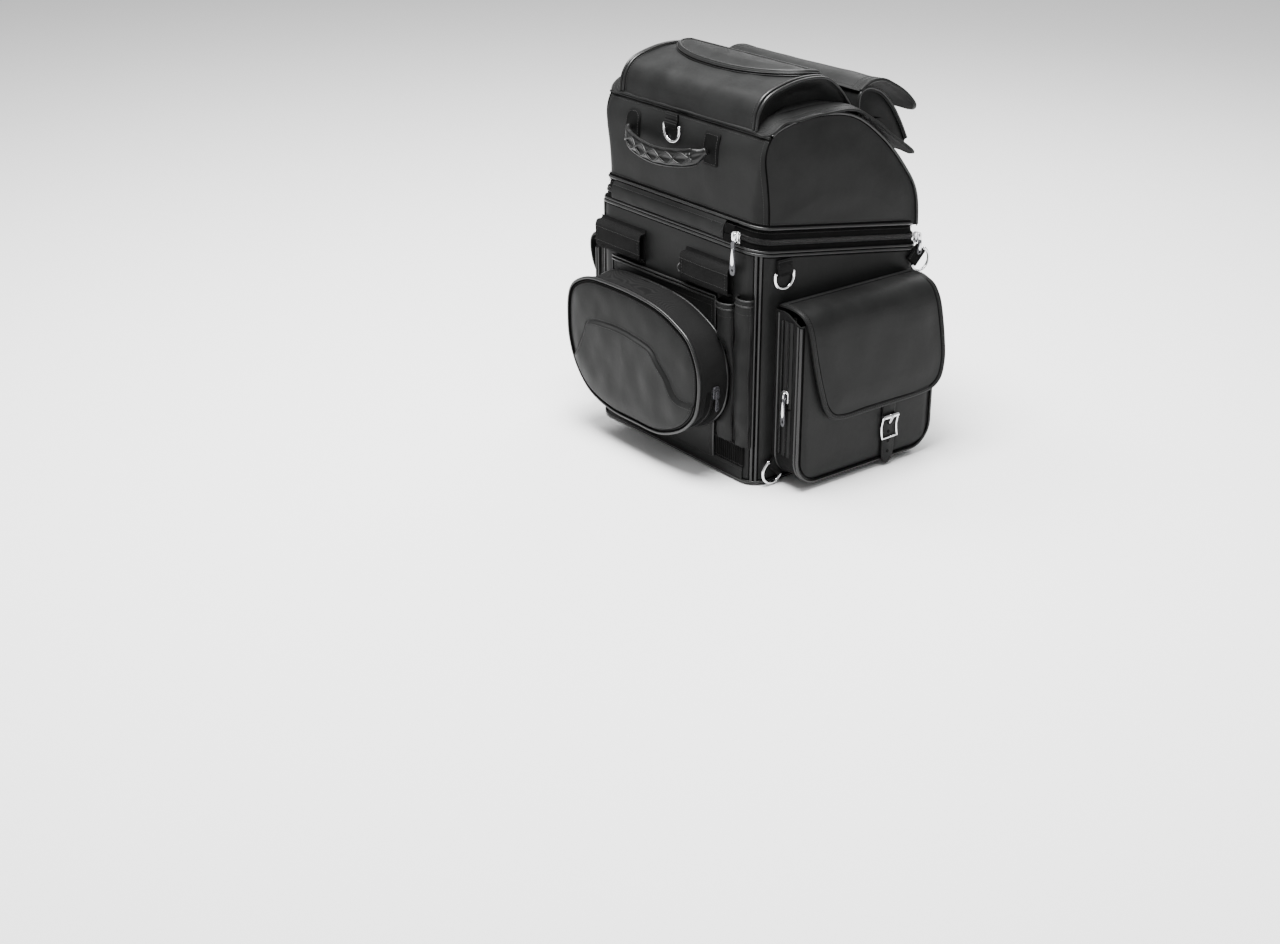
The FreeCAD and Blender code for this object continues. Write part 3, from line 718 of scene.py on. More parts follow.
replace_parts(ropes("body_piping_cord", [rim_cord, base_cord] + corner_lines((38.5, 52.0), 1.0, 5, 3), 2.15,
                  CORD,
                  "main_bag", closed=(0, 1)), "body_piping")
ropes("rim_welt", [rim_cord_2], 1.8, CORD, "main_bag", closed=(0,))
# Painted shade: dark lines beside the corner cords, the two rim cords and the base cord.
seam_shade_lines = corner_lines((32.0, 45.2, 58.5), 0.25, 5, 4)
seam_shade_lines += [rim_loop(BODY_X + out, -BODY_Y - out, BODY_Y + out, CORNER + out, RIM + up)
               for out, up in ((0.5, -5.4), (1.0, 0.2), (0.4, 4.7))]
base_seam_shade = plan_loop(BODY_X + 0.5, -BODY_Y - 0.5, BODY_Y + 0.5, CORNER + 0.5)
seam_shade_lines.append(np.c_[base_seam_shade, np.full(len(base_seam_shade), 7.0)])
ropes("body_seam_shade", seam_shade_lines, 0.95, SEAM_SHADE, "main_bag", closed=(12, 13, 14, 15))

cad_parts["base_board"].data.materials.clear()
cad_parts["base_board"].data.materials.append(BOARD)


# ---------------------------------------------------------------- zip round the rim

STRIP_X0, STRIP_X1 = -146.0, 108.0


COIL_SHAPE = ((-0.5, 0.4), (-0.36, 1.0), (0.36, 1.0), (0.5, 0.4))


def coil_row(name, line, tilt, up, body, pitch=1.9, long=4.4, radius=0.78):
    """Teeth of a nylon coil: short slanted rods along a line; up is the direction across the line."""
    mid = spaced(line, max(int(length_of(line) / pitch), 2))
    ahead = np.gradient(mid, axis=0)
    ahead /= np.linalg.norm(ahead, axis=1)[:, None]
    up = np.broadcast_to(arr(up), mid.shape)
    ways = up * math.cos(tilt) + ahead * math.sin(tilt)
    ways = [way / np.linalg.norm(way) for way in ways]
    return rods(name, mid, ways, COIL_SHAPE, long, radius, COIL, body)


def band_loop(h, out=0.0):
    """Plan of the zip band at a height between the two rims."""
    t = (h - RIM) / (LID_RIM - RIM)
    return rim_loop(179.0 - 3.5 * t + out, -155.5 + 7.0 * t - out, 155.5 - 3.0 * t + out, CORNER - 2.0, h)


def tape(name, heights, body, cad):
    rows = [band_loop(h) for h in heights]
    count = min(len(r) for r in rows)
    p = np.stack([spaced(np.vstack([r, r[:1]]), count, closed=True) for r in rows], axis=1)
    made = sheet(name, p, 1.2, [TAPE], body, wrap=True)
    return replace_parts(made, cad)


tape("zip_tape_low", np.linspace(343, 359.5, 6), "main_bag", "zip_tape_lower")
tape("zip_tape_high", np.linspace(363.5, 381, 6), "lid", "zip_tape_upper")
low_run = open_run(band_loop(359.7, 0.9), STRIP_X0 + 8, STRIP_X1 - 4)
high_run = open_run(band_loop(363.5, 0.9), STRIP_X0 + 8, STRIP_X1 - 4)
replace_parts(coil_row("zip_coil_low", low_run, 0.5, (0, 0, 1), "main_bag"), "zip_teeth_lower")
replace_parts(coil_row("zip_coil_high", high_run, -0.5, (0, 0, 1), "lid"), "zip_teeth_upper")
stitches("zip_stitch_low", [open_run(band_loop(350.0, 0.7), STRIP_X0, STRIP_X1)], "main_bag")
stitches("zip_stitch_high", [open_run(band_loop(373.5, 0.9), STRIP_X0, STRIP_X1)], "lid")

xs = np.linspace(STRIP_X0, STRIP_X1, 56)
strip_line = catmull([(-155.8, 349.8), (-157.9, 352.5), (-158.5, 361), (-157.0, 370), (-152.2, 377.0)], 18)
p = over_profile(xs, strip_line)
p[:, :, 1] -= ripple(p, 0.7, 24.0, 5.0)
front_strip = sheet("front_hinge_strip", p, 2.0, [LEATHER, UNDER], None, flip=False)
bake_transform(front_strip)
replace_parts(front_strip, "hinge_strip", "lid_strip")
rows = [[(x, -158.6, 353.2) for x in np.linspace(-142, 104, 60)],
        [(84, -159.2, z) for z in np.linspace(353, 361, 5)],
        [(104, -159.2, z) for z in np.linspace(353, 361, 5)]]
stitches("strip_stitch_low", rows, "main_bag")
rows = [[(x, -156.6, 372.0) for x in np.linspace(-142, 104, 60)], [(104, -158.5, z) for z in (362, 371)],
        [(84, -158.5, z) for z in (362, 371)]]
stitches("strip_stitch_high", rows, "lid")
for low, high, body in ((350.5, 360.5, "main_bag"), (362.0, 374.5, "lid")):
    u, v = np.meshgrid(np.linspace(109, 130, 22), np.linspace(low, high, 6), indexing="ij")
    q = np.stack([u, -157.6 - 0.5 * np.sin(u * 3.1) + 0.10 * (v - 361), v], axis=2)
    sheet("zip_end_tape_" + body, q, 1.2, [ELASTIC], body, flip=False)


# ---------------------------------------------------------------- front of the body

FRONT = -BODY_Y


def front_grid(x0, x1, z0, z1, nx, nz, depth):
    """Grid in front of the front wall; depth(u, v) in millimetres outwards."""
    u, v = np.meshgrid(np.linspace(0, 1, nx), np.linspace(0, 1, nz), indexing="ij")
    p = np.zeros((nx, nz, 3))
    p[:, :, 0] = x0 + (x1 - x0) * u
    p[:, :, 2] = z0 + (z1 - z0) * v
    p[:, :, 1] = FRONT - depth(u, v)
    return p


def pocket_depth(u, v):
    swell = np.sin(np.pi * u) ** 0.5 * (0.4 + 1.3 * v)
    return 3.2 + swell + 1.4 * smooth01((v - 0.93) / 0.07) * np.sin(np.pi * u) ** 0.4


p = front_grid(-141, 96, 22, 266, 61, 61, pocket_depth)
p[:, :, 1] -= ripple(p, 0.8, 38.0, 2.0)
slip = sheet("slip_pocket", p, 1.8, [LEATHER, UNDER], "main_bag", flip=False)
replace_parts(slip, "front_slip_pocket")
ropes("slip_pocket_hem", [p[:, -1] + arr([0, -0.4, 0.4]), p[:, -2] + arr([0, -0.9, -0.6])], 1.7, CORD,
      "main_bag")
ropes("slip_pocket_seams", [p[0] + PROUD, p[-1] + PROUD], 1.3, CORD, "main_bag")
stitches("slip_pocket_stitch", [p[:, -5] + PROUD, p[2] + PROUD, p[-3] + PROUD],
         "main_bag")

p = front_grid(-158, 158, 3.5, 24, 60, 6, lambda u, v: 1.6 + 0.5 * np.sin(np.pi * v))
sheet("bottom_band", p, 1.6, [LEATHER], "main_bag")
stitches("bottom_band_stitch", [p[:, -2] + arr([0, -0.1, 0])], "main_bag")


def ribs(u, v):
    return 1.8 + 0.7 * np.sin(u * TAU * 17) + 0.7 * np.sin(np.pi * v) ** 0.5


p = front_grid(99, 160, 24, 60, 120, 10, ribs)
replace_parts(sheet("elastic_gather", p, 1.0, [ELASTIC], "main_bag"), "elastic_patch")
stitches("elastic_stitch", [p[:, 1] + arr([0, -0.6, 0]), p[:, -2] + arr([0, -0.6, 0])], "main_bag")

pouch_edge = catmull(POUCH_LINE, 220, closed=True)


def pouch_right(z):
    """Right-hand edge of the pouch at a height."""
    right = pouch_edge[pouch_edge[:, 0] > -25]
    order = np.argsort(right[:, 1])
    return np.interp(z, right[order, 1], right[order, 0], left=-200, right=-200)


# Painted shade: a dark, dull sheet behind the pen sleeves darkens the gaps between them and their insides.
dark = front_grid(101, 173.5, 56, 274, 20, 20, lambda u, v: 0.9 + 0 * u)
sheet("sleeve_backing_shade", dark, 0.8, [UNDER], "main_bag")
sleeve_hems, sleeve_rows = [], []
for k, (x0, x1, top) in enumerate(((104, 136, 264), (142, 171, 278))):
    levels = np.linspace(58, top, 56)
    p = np.zeros((31, len(levels), 3))
    for j, z in enumerate(levels):
        left = max(x0, float(pouch_right(z)) + 4) if k == 0 else x0
        wide = x1 - left
        deep = min(14.0, wide * 0.44) * (0.45 + 0.55 * smooth01((z - 58) / 60)) * (1
                + 0.05 * math.sin(z / 13 + k))
        a = np.linspace(np.pi, 0, 31)
        p[:, j, 0] = left + wide / 2 + wide / 2 * np.cos(a)
        p[:, j, 1] = FRONT - 0.4 - deep * np.sin(a) ** 0.72
        p[:, j, 2] = z
    p -= grid_normals(p) * ripple(p, 1.6 + 1.6 * k, 27.0, 31.0 + k)[:, :, None]
    piece = sheet("pen_sleeve_%d" % (k + 1), p, 1.4, [LEATHER, UNDER], "main_bag")
    if k == 0:
        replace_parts(piece, "pen_sleeves")
    sleeve_hems += [p[:, -1], p[:, -3] + arr([0, -0.3, 0])]
    sleeve_rows += [p[:, -6] + arr([0, -0.3, 0]), p[2] + PROUD, p[-3] + PROUD]
ropes("pen_sleeve_hems", sleeve_hems, 1.2, CORD, "main_bag")
stitches("pen_sleeve_stitch", sleeve_rows, "main_bag", radius=0.36)

for k, (x0, x1) in enumerate(((-171, -66), (27, 131))):
    line = catmull([(0.9, 271), (2.0, 274), (9.5, 275), (12.4, 279), (12.8, 295), (12.4, 311), (9.5, 315),
                    (2, 316),
                    (0.9, 319)], 44)
    xs = np.linspace(x0, x1, 50)
    p = np.zeros((50, 44, 3))
    p[:, :, 0] = xs[:, None]
    p[:, :, 1] = FRONT - line[None, :, 0]
    p[:, :, 2] = line[None, :, 1]
    sag = np.sin(np.pi * np.linspace(0, 1, 50)) * 0.9
    p[:, :, 1] -= (line[None, :, 0] / 13) * (ripple(p, 1.0, 30.0, 50.0 + k) + sag[:, None])
    piece = sheet("webbing_loop_%d" % (k + 1), p, 1.8, [WEB], "main_bag", flip=False)
    back = front_grid(x0, x1, 269.5, 320.5, 40, 8, lambda u, v: 0.9 + 0 * u)
    sheet("webbing_backing_%d" % (k + 1), back, 1.0, [WEB], "main_bag")
    if k == 0:
        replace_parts(piece, "webbing_loops")
    stitches("webbing_stitch_%d" % (k + 1), [p[:, 15] + PROUD, p[:, 29] + PROUD,
                                             p[2, 14:30] + PROUD, p[-3, 14:30] + PROUD],
             "main_bag", radius=0.4)
ropes("cord_loop", [catmull([(14, -157.5, 292), (15, -162, 289), (20, -164, 283), (26, -162, 289),
                             (27, -157.5, 292)],
                            30)], 1.0, CORD, "main_bag")


# ---------------------------------------------------------------- round front pouch

POUCH_BACK, POUCH_FRONT = -160.0, -213.0
pouch_middle = arr([-26, 148])
outward = -normals_2d(pouch_edge, closed=True)
if ((pouch_edge - pouch_middle) * outward).sum() < 0:
    outward = -outward


def upright(flat, y):
    """An (X, Z) line placed at a depth Y."""
    return np.c_[flat[:, 0], np.full(len(flat), y), flat[:, 1]]


def pouch_ring(y, grow=0.0):
    return upright(pouch_edge + outward * grow, y)


rows = [pouch_ring(y, g) for y, g in ((POUCH_BACK, 0.5), (-164, 1.0), (-172, -0.6), (-181, -1.8),
                                      (-190, -2.0),
                                      (-199, -1.4), (-207, 0.2), (POUCH_FRONT, 0.6))]
p = np.stack(rows, axis=1)
p += grid_normals(p, wrap=True) * ripple(p, 1.6, 26.0, 61.0)[:, :, None]
gusset = sheet("pouch_gusset", p, 2.0, [LEATHER, LINING], "main_bag", wrap=True)
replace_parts(gusset, "pouch_core")


def inside(points, polygon):
    """Signed distance to a polygon in the XZ plane, positive inside."""
    q = arr(polygon)
    best = np.full(len(points), 1e9)
    odd = np.zeros(len(points), bool)
    for a, b in zip(q, np.roll(q, -1, 0)):
        ab = b - a
        t = np.clip(((points - a) @ ab) / (ab @ ab), 0, 1)
        best = np.minimum(best, np.linalg.norm(points - (a + t[:, None] * ab), axis=1))
        crosses = (a[1] > points[:, 1]) != (b[1] > points[:, 1])
        at = a[0] + (points[:, 1] - a[1]) / (b[1] - a[1] + 1e-12) * ab[0]
        odd ^= crosses & (points[:, 0] < at)
    return np.where(odd, best, -best)


PAD_LINE = [(-121, 180), (24, 180), (45, 163), (62, 146), (80, 124), (92, 119), (130, 117), (130, 30),
            (-190, 30),
            (-190, 116), (-164, 118), (-153, 124), (-142, 141), (-132, 160)]
pad_poly = catmull(PAD_LINE, 200, closed=True)


def face_lift(points, share):
    flat = points[:, [0, 2]]
    edge = inside(flat, pouch_edge)
    dome = 7.5 * (1 - np.exp(-np.clip(edge, 0, None) / 22.0))
    raised = 4.6 * smooth01((inside(flat, pad_poly) + 2.5) / 5.0) * smooth01(edge / 9.0)
    groove = -1.9 * np.exp(-(inside(flat, pad_poly) / 2.0) ** 2)
    soft = clouds(points, 34.0, 9.0) * 1.8 * smooth01(edge / 25)
    return np.c_[np.zeros(len(points)), -(dome + raised + groove * smooth01(edge / 9) + soft),
                 np.zeros(len(points))]


edge3 = pouch_ring(POUCH_FRONT, 0.2)
face = patch("pouch_front", edge3, (-26, POUCH_FRONT, 148), 90, face_lift, (0, 2.4, 0), [SOFT, LINING],
             "main_bag",
             flip=False)
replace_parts(face, "pouch_face")
pouch_rows = []
for shift in (-4.0, 4.0):
    line = catmull([(-172, 116), (-164, 118), (-153, 124), (-142, 141), (-132, 160), (-121, 180), (24, 180),
                    (45, 163),
                    (62, 146), (80, 124), (92, 119), (121, 117)], 120)
    line = line + normals_2d(line) * shift
    line = line[inside(line, pouch_edge) > 6]
    flat = upright(line, POUCH_FRONT)
    pouch_rows.append(flat + face_lift(flat, 0) + arr([0, -0.15, 0]))
stitches("pouch_face_stitch", pouch_rows, "main_bag")
flat = pouch_ring(POUCH_FRONT, -7.0)
stitches("pouch_rim_stitch", [flat + face_lift(flat, 0) + PROUD], "main_bag")
ropes("pouch_cord", [pouch_ring(POUCH_FRONT - 0.5, 1.6), pouch_ring(POUCH_BACK - 2, 1.8)], 2.5, CORD,
                    "main_bag", closed=(0, 1))
low = pouch_edge[:, 1] < 140
start = next(i for i in range(len(low)) if low[i] and not low[i - 1])
order = [(start + k) % len(low) for k in range(int(low.sum()))]


def pouch_run(y, grow):
    return pouch_ring(y, grow)[order]


p = np.stack([pouch_run(y, g) for y, g in ((-176, -0.2), (-180, 0.0), (-185.5, 0.1))], axis=1)
sheet("pouch_tape_back", p, 1.0, [TAPE], "main_bag")
p = np.stack([pouch_run(y, g) for y, g in ((-188.5, 0.1), (-194, 0.1), (-198, 0.0))], axis=1)
sheet("pouch_tape_front", p, 1.0, [TAPE], "main_bag")
coil_row("pouch_coil_back", pouch_run(-185.6, 0.9), 0.5, (0, 1, 0), "main_bag", long=3.6, radius=0.7,
         pitch=1.7)
coil_row("pouch_coil_front", pouch_run(-188.4, 0.9), -0.5, (0, 1, 0), "main_bag", long=3.6, radius=0.7,
         pitch=1.7)
stitches("pouch_gusset_stitch", [pouch_ring(-166.5, 0.9), pouch_ring(-206.5, 0.4)], "main_bag", radius=0.36)
# Painted shade: a dark line inside the pouch face's edge, and dark lines beside the front and back piping.
flat = pouch_ring(POUCH_FRONT, -4.4)
ropes("pouch_inner_seam_shade", [flat + face_lift(flat, 0)], 0.6, SEAM_SHADE, "main_bag", closed=(0,))
ropes("pouch_piping_shade", [pouch_ring(POUCH_FRONT + 3.6, 0.8), pouch_ring(POUCH_BACK - 5.6, 1.2),
                     pouch_ring(POUCH_FRONT - 2.4, -1.2)],
      0.95, SEAM_SHADE, "main_bag", closed=(0, 1, 2))
# Stitch rows at each end of the pouch zip, with a painted-shade line between them.
end_rows, end_seam_shade = [], []
for end in (order[0], order[-1]):
    for shift, rows in ((-3, end_rows), (0, end_seam_shade), (3, end_rows)):
        line = [pouch_ring(y, 0.3 - 1.9 * math.sin(math.pi * (y + 208) / 44))[(end + shift) % len(low)]
                for y in np.linspace(-208, -165, 12)]
        rows.append(line)
stitches("pouch_end_stitch", end_rows, "main_bag", radius=0.4)
ropes("pouch_end_seam_shade", end_seam_shade, 0.8, SEAM_SHADE, "main_bag")


# ---------------------------------------------------------------- side pockets

PY0, PY1, PZ0, PZ1, PR = -120.0, 140.0, 12.0, 262.0, 36.0


def pocket_path(grow=0.0, top=PZ1, count=150):
    """Front edge, round bottom corners and rear edge of a pocket, in Y and Z."""
    y0, y1, z0, r = PY0 - grow, PY1 + grow, PZ0 - grow, PR + grow
    line = [(y0, top)]
    line += [polar(y0 + r, z0 + r, r, a) for a in np.linspace(180, 270, 14)]
    line += [polar(y1 - r, z0 + r, r, a) for a in np.linspace(270, 360, 14)]
    line.append((y1, top))
    return spaced(line, count)


def at_x(line, x):
    return np.c_[np.full(len(line), x), line]


for side, word in sides():
    rows = [at_x(pocket_path(g, PZ1 - 13 * float(smooth01((x - 196) / 36))), x)
            for x, g in ((180.5, -0.6), (187, 0.3), (195, -0.8), (205, -1.5), (215, -1.5), (225, -0.8),
                         (231, 0.2),
                         (234, -0.4))]
    p = np.stack(rows, axis=1)
    p += grid_normals(p) * ripple(p, 1.2, 30.0, 71.0 + side)[:, :, None]
    piece = sheet("pocket_gusset_" + word, p, 2.0, [LEATHER, LINING], "main_bag", side=side,
                  flip=True)
    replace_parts(piece, "pocket_shell_" + word)
    edge = pocket_path(-0.8, PZ1 - 13)
    top = np.linspace(edge[-1], edge[0], 40)[1:-1]
    rim = at_x(np.vstack([edge, top]), 233.2)

    def bow(points, share):
        edge_gap = np.minimum.reduce([points[:, 1] - PY0, PY1 - points[:, 1], points[:, 2] - PZ0,
                                      PZ1 - 5 - points[:, 2]])
        away = smooth01((np.abs(points[:, 1] - 52) - 9) / 12)
        soft = clouds(points, 45.0, 3.0)
        lift = (1.2 + (1.3 + 0.8 * soft) * away) * smooth01(edge_gap / 16)
        return np.c_[lift, np.zeros((len(points), 2))]

    front = patch("pocket_front_" + word, rim, (233.2, 10, 137), 44, bow, (-2.2, 0, 0), [SOFT, LINING],
                  "main_bag",
                  side=side)
    cords = [mirrored_line(at_x(pocket_path(1.3, top), x), side) for x,
             top in ((233.2, 247), (227.4, 248), (187.6, 259))]
    # Painted shade: dark lines beside each pocket cord and just inside the pocket front's edge.
    dark = [mirrored_line(at_x(pocket_path(0.6, top), x), side) for x,
            top in ((230.3, 247), (224.6, 248), (190.6, 258),
                                                                               (184.6, 259))]
    dark.append(mirrored_line(at_x(pocket_path(-3.2, 247), 234.9), side))
    ropes("pocket_seam_shade_" + word, dark, 0.95, SEAM_SHADE, "main_bag")
    piece = ropes("pocket_cord_" + word, cords, 2.1, CORD, "main_bag")
    if side > 0:
        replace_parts(piece, "pocket_piping")
    rows = [mirrored_line(at_x(pocket_path(0.4, 258), x), side) for x in (222.0, 218.6)]
    stitches("pocket_stitch_" + word, rows, "main_bag")
    for k, (xa, xb, material, rise) in enumerate(((191.5, 199.5, TAPE, 0.9), (200.5, 207.6, LEATHER, 2.4),
                                                  (210.4, 218.0, LEATHER, 2.8))):
        u = np.linspace(xa, xb, 7)
        z = np.linspace(50, 250, 60)
        q = np.zeros((7, 60, 3))
        q[:, :, 0] = u[:, None]
        q[:, :, 1] = PY0 - 0.7 - rise * np.sin(np.pi * np.linspace(0.08, 0.92, 7))[:, None] ** 0.6
        q[:, :, 2] = z[None]
        q[:, :, 1] -= ripple(q, 0.5, 15.0, 4.0)
        piece = sheet("pocket_tape_%s_%d" % (word, k), q, 1.2, [material], "main_bag", side=side)
        if side > 0 and k == 0:
            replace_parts(piece, "pocket_zip_tapes")
    for k, (x, lean, long, low) in enumerate(((195.3, 0.75, 6.6, 52), (209.0, 0.5, 3.0, 56))):
        line = mirrored_line([(x, PY0 - 2.3, z) for z in np.linspace(low, 248, 60)], side)
        coil_row("pocket_coil_%s_%d" % (word, k), line, lean * side, (1, 0, 0), "main_bag", long=long,
                 radius=0.95 - 0.25 * k, pitch=2.4 - 0.6 * k)
    rows = [mirrored_line([(x, PY0 - 2.9, z) for z in np.linspace(54, 250, 40)], side) for x in (202.6,
            215.6)]
    stitches("pocket_tape_stitch_" + word, rows, "main_bag", radius=0.34)
    # Painted shade: short dark lines across the zip tapes at one height on the pocket gusset.
    across = [mirrored_line([(x, PY0 - 1.2, 122.5) for x in (188, 193, 199)], side),
              mirrored_line([(x, PY0 - 3.2, 122.5) for x in (211, 214, 218)], side)]
    ropes("pocket_cross_seam_shade_" + word, across, 0.9, SEAM_SHADE, "main_bag")


# ---------------------------------------------------------------- pocket flaps, straps

SKIRT = [(-116, 262), (-110, 225), (-101, 183), (-91, 148), (-80, 119), (-66, 103), (-46, 97.5), (0, 97),
         (60, 97),
         (112, 98), (136, 102), (151, 114), (157, 140), (154, 175), (147, 212), (139, 245), (133, 262)]
flap_profile = catmull([(183.4, 268.6), (198, 269.8), (212, 269.2), (224, 266.4), (233, 260.5), (239, 251),
                        (242, 238),
                        (243, 220), (243, 200), (243, 150), (243, 96)], 200)
flap_s = np.r_[0, np.cumsum(np.linalg.norm(np.diff(flap_profile, axis=0), axis=1))]
s_of_z = lambda z: flap_s[-1] - (np.asarray(z, float) - flap_profile[-1, 1])
flat_line = [(y, float(s_of_z(z))) for y, z in SKIRT]
flat_line = catmull(flat_line, 240)
flat_line = np.vstack([[(-118, 0.0), (-118, 10), (-118, 25), (-117.5, 40)], flat_line[6:-6],
                       [(133, 40), (134, 25), (134, 10), (134, 0.0)]])
top_edge = np.linspace(flat_line[-1], flat_line[0], 50)[1:-1]
flap_edge = spaced(np.vstack([flat_line, top_edge, flat_line[:1]]), 330, closed=True)


def edge_gap_2d(points, polygon):
    best = np.full(len(points), 1e9)
    for a, b in zip(polygon, np.roll(polygon, -1, 0)):
        ab = b - a
        t = np.clip(((points - a) @ ab) / max(ab @ ab, 1e-9), 0, 1)
        best = np.minimum(best, np.linalg.norm(points - (a + t[:, None] * ab), axis=1))
    return best


def flap_point(flat, rise):
    """From (Y, distance down the flap) to a place, raised off the flap by rise."""
    x = np.interp(flat[:, 1], flap_s, flap_profile[:, 0])
    z = np.interp(flat[:, 1], flap_s, flap_profile[:, 1])
    slope = np.gradient(flap_profile, axis=0)
    tx = np.interp(flat[:, 1], flap_s, slope[:, 0])
    tz = np.interp(flat[:, 1], flap_s, slope[:, 1])
    size = np.hypot(tx, tz)
    return np.c_[x - tz / size * rise, flat[:, 0], z + tx / size * rise]


def flap_waves(flat):
    return arr([noise.noise(Vector((q[0] / 55.0, q[1] / 55.0, 4.0))) for q in flat])


flap_mid = arr([18, 120])
flap_flat, faces = patch_data(flap_edge, flap_mid, 70, lambda points, share: 0.0, 0.9)
flap_gap = edge_gap_2d(flap_flat, flap_edge)
binding = 1.5 * smooth01((7.4 - flap_gap) / 1.2) * smooth01(flap_gap / 1.0 + 0.2)
waves = flap_waves(flap_flat)
sag = 1.5 * waves * smooth01(flap_gap / 30) + 2.2 * smooth01(flap_gap / 45)
flap_top = flap_point(flap_flat, binding + sag - 0.6)
flap_under = flap_point(flap_flat, sag - 3.2)
flap_under[:, 0] = np.minimum(flap_under[:, 0], 240.6)
n = len(flap_edge)
first, second, third = [flap_top[v] for v in faces[50][:3]]
inward_facing = bool(np.cross(second - first, third - first)[0] < 0)
if inward_facing:
    faces = [f[::-1] for f in faces]
flap_verts, flap_faces, flap_mats = closed_shell(flap_top, flap_under, faces, n, inward_facing)


def bow_left(points):
    """The front top of the left flap stands away from the bag."""
    amount = smooth01((-30 - points[:, 1]) / 90) * smooth01((points[:, 2] - 150) / 70)
    points[:, 0] -= 21.0 * amount * smooth01((np.abs(points[:, 0]) - 186) / 40)


for side, word in sides():
    verts, faces = mirror_if(side, flap_verts, flap_faces)
    if side < 0:
        bow_left(verts)
    piece = mesh("flap_" + word, verts, faces, [LEATHER, UNDER], "flap_" + word, flap_mats)
    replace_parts(piece, "pocket_flap_" + word)
    rows = []
    for inset in (3.2, 6.2):
        ring = []
        for i in range(n):
            way = flap_mid - flap_edge[i]
            ring.append(flap_edge[i] + way / np.linalg.norm(way) * inset)
        ring = arr(ring)
        ring = ring[ring[:, 1] > 8]
        gap = edge_gap_2d(ring, flap_edge)
        wave = flap_waves(ring)
        lift = (1.5 * smooth01((7.4 - gap) / 1.2) + 1.5 * wave * smooth01(gap / 30)
                + 2.2 * smooth01(gap / 45) - 0.4)
        cut = int(np.argmax(np.linalg.norm(np.diff(ring, axis=0), axis=1)))
        ring = np.vstack([ring[cut + 1:], ring[:cut + 1]])
        lift = np.r_[lift[cut + 1:], lift[:cut + 1]]
        rows.append(mirrored_line(flap_point(ring, lift), side))
        if inset > 5:
            # Painted shade: a dark line just inside the binding, along its inner edge.
            groove = [flap_mid + (q - flap_mid) * (1 - 2.4 / np.linalg.norm(q - flap_mid)) for q in ring]
            groove = mirrored_line(flap_point(arr(groove), lift * 0 - 0.35), side)
    if side < 0:
        for row in rows + [groove]:
            bow_left(row)
    stitches("flap_stitch_" + word, rows, "flap_" + word)
    ropes("flap_binding_shade_" + word, [groove], 0.6, SEAM_SHADE, "flap_" + word)

    z = np.r_[np.linspace(150, 30, 50), np.linspace(28, 3.5, 16)]
    wave = 0.5 * np.sin(z / 21.0)
    path = np.c_[237.2 + wave * 0.6, np.full(len(z), 52.0), z]
    taper = np.sqrt(np.clip(1 - (1 - np.clip((z - 2.6) / 22.0, 0.0, 1.0)) ** 2, 0.01, 1.0))
    strap = band("strap_" + word, path, (0, 1, 0), 25.0, 2.4, LEATHER, "flap_" + word, side, taper)
    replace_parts(strap, "flap_strap_" + word)
    rows = []
    for sy in (-1, 1):
        zz = np.linspace(96, 24, 40)
        near = [(238.7, 52 + sy * 9.8, q) for q in zz]
        zz = np.linspace(22, 7.5, 10)
        near += [(238.7, 52 + sy * 9.8 * math.sqrt(max(1 - (1 - (q - 6.0) / 18.0) ** 2, 0.0)), q) for q in zz]
        rows.append(mirrored_line(near, side))
    stitches("strap_stitch_" + word, rows, "flap_" + word, radius=0.34)
    # Painted shade: dark rings stand in for the shade inside the strap's punched holes; the holes are not
    # cut.
    hole_shade_rings = []
    for z0 in (22, 38, 53, 66.5):
        a = np.linspace(0, TAU, 17)[:-1]
        ring = np.c_[np.full(16, 238.65), 52 + 1.7 * np.cos(a), z0 + 1.7 * np.sin(a)]
        hole_shade_rings.append(mirrored_line(ring, side))
    ropes("strap_hole_shade_" + word, hole_shade_rings, 0.55, SEAM_SHADE, "flap_" + word, closed=(0, 1, 2, 3))


# The buckle frame is bent inwards at its middle, and the prong is a short wire loop round the top bar.

BUCKLE_LINE = [(241.8, 78), (240.2, 70), (238.8, 62), (239.4, 53), (241.2, 45)]
for side, word in sides():
    near = catmull([(x, 37.2, z) for x, z in BUCKLE_LINE], 24)
    far = catmull([(x, 66.8, z) for x, z in BUCKLE_LINE], 24)
    loop = mirrored_line(np.vstack([near, far[::-1]]), side)
    piece = ropes("buckle_wire_" + word, [loop], 1.5, CHROME, "flap_" + word, closed=(0,))
    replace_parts(piece, "buckle_frame_" + word)
    half = [(239.3, 50.5, 78.6), (241.8, 50.5, 80.8), (244.6, 50.5, 78), (243.6, 50.4, 73),
            (240.4, 51.2, 66.8)]
    loop = catmull(half + [(x, 104 - y, z) for x, y, z in half[::-1]], 48, closed=True)
    piece = ropes("buckle_tongue_" + word, [mirrored_line(loop, side)], 0.8, CHROME, "buckle_prong_" + word,
                  closed=(0,))
    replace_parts(piece, "buckle_prong_" + word)


def chrome_up(*names):
    for name in names:
        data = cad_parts[name].data
        data.materials.clear()
        data.materials.append(CHROME)


for word in ("right", "left"):
    chrome_up("buckle_roller_" + word)
    chrome_up("ring_front_top_" + word, "ring_rear_top_" + word, "ring_front_bottom_" + word)
chrome_up("lid_ring")


# ---------------------------------------------------------------- ring tabs

RING_SPOTS = (((182.9, -110, 312), 0.0, 19.5, "front_top"), ((182.9, 150, 283), 45.0, 17.0, "rear_top"),
              ((187.3, -122, 24), -45.0, 12.0, "front_bottom"))


def turned(points, spot, turn, roll):
    c, s = math.cos(math.radians(roll)), math.sin(math.radians(roll))
    q = arr(points)
    q = np.c_[q[:, 0], q[:, 1] * c - q[:, 2] * s, q[:, 1] * s + q[:, 2] * c]
    c, s = math.cos(math.radians(turn)), math.sin(math.radians(turn))
    return np.c_[q[:, 0] * c - q[:, 1] * s, q[:, 0] * s + q[:, 1] * c, q[:, 2]] + arr(spot)


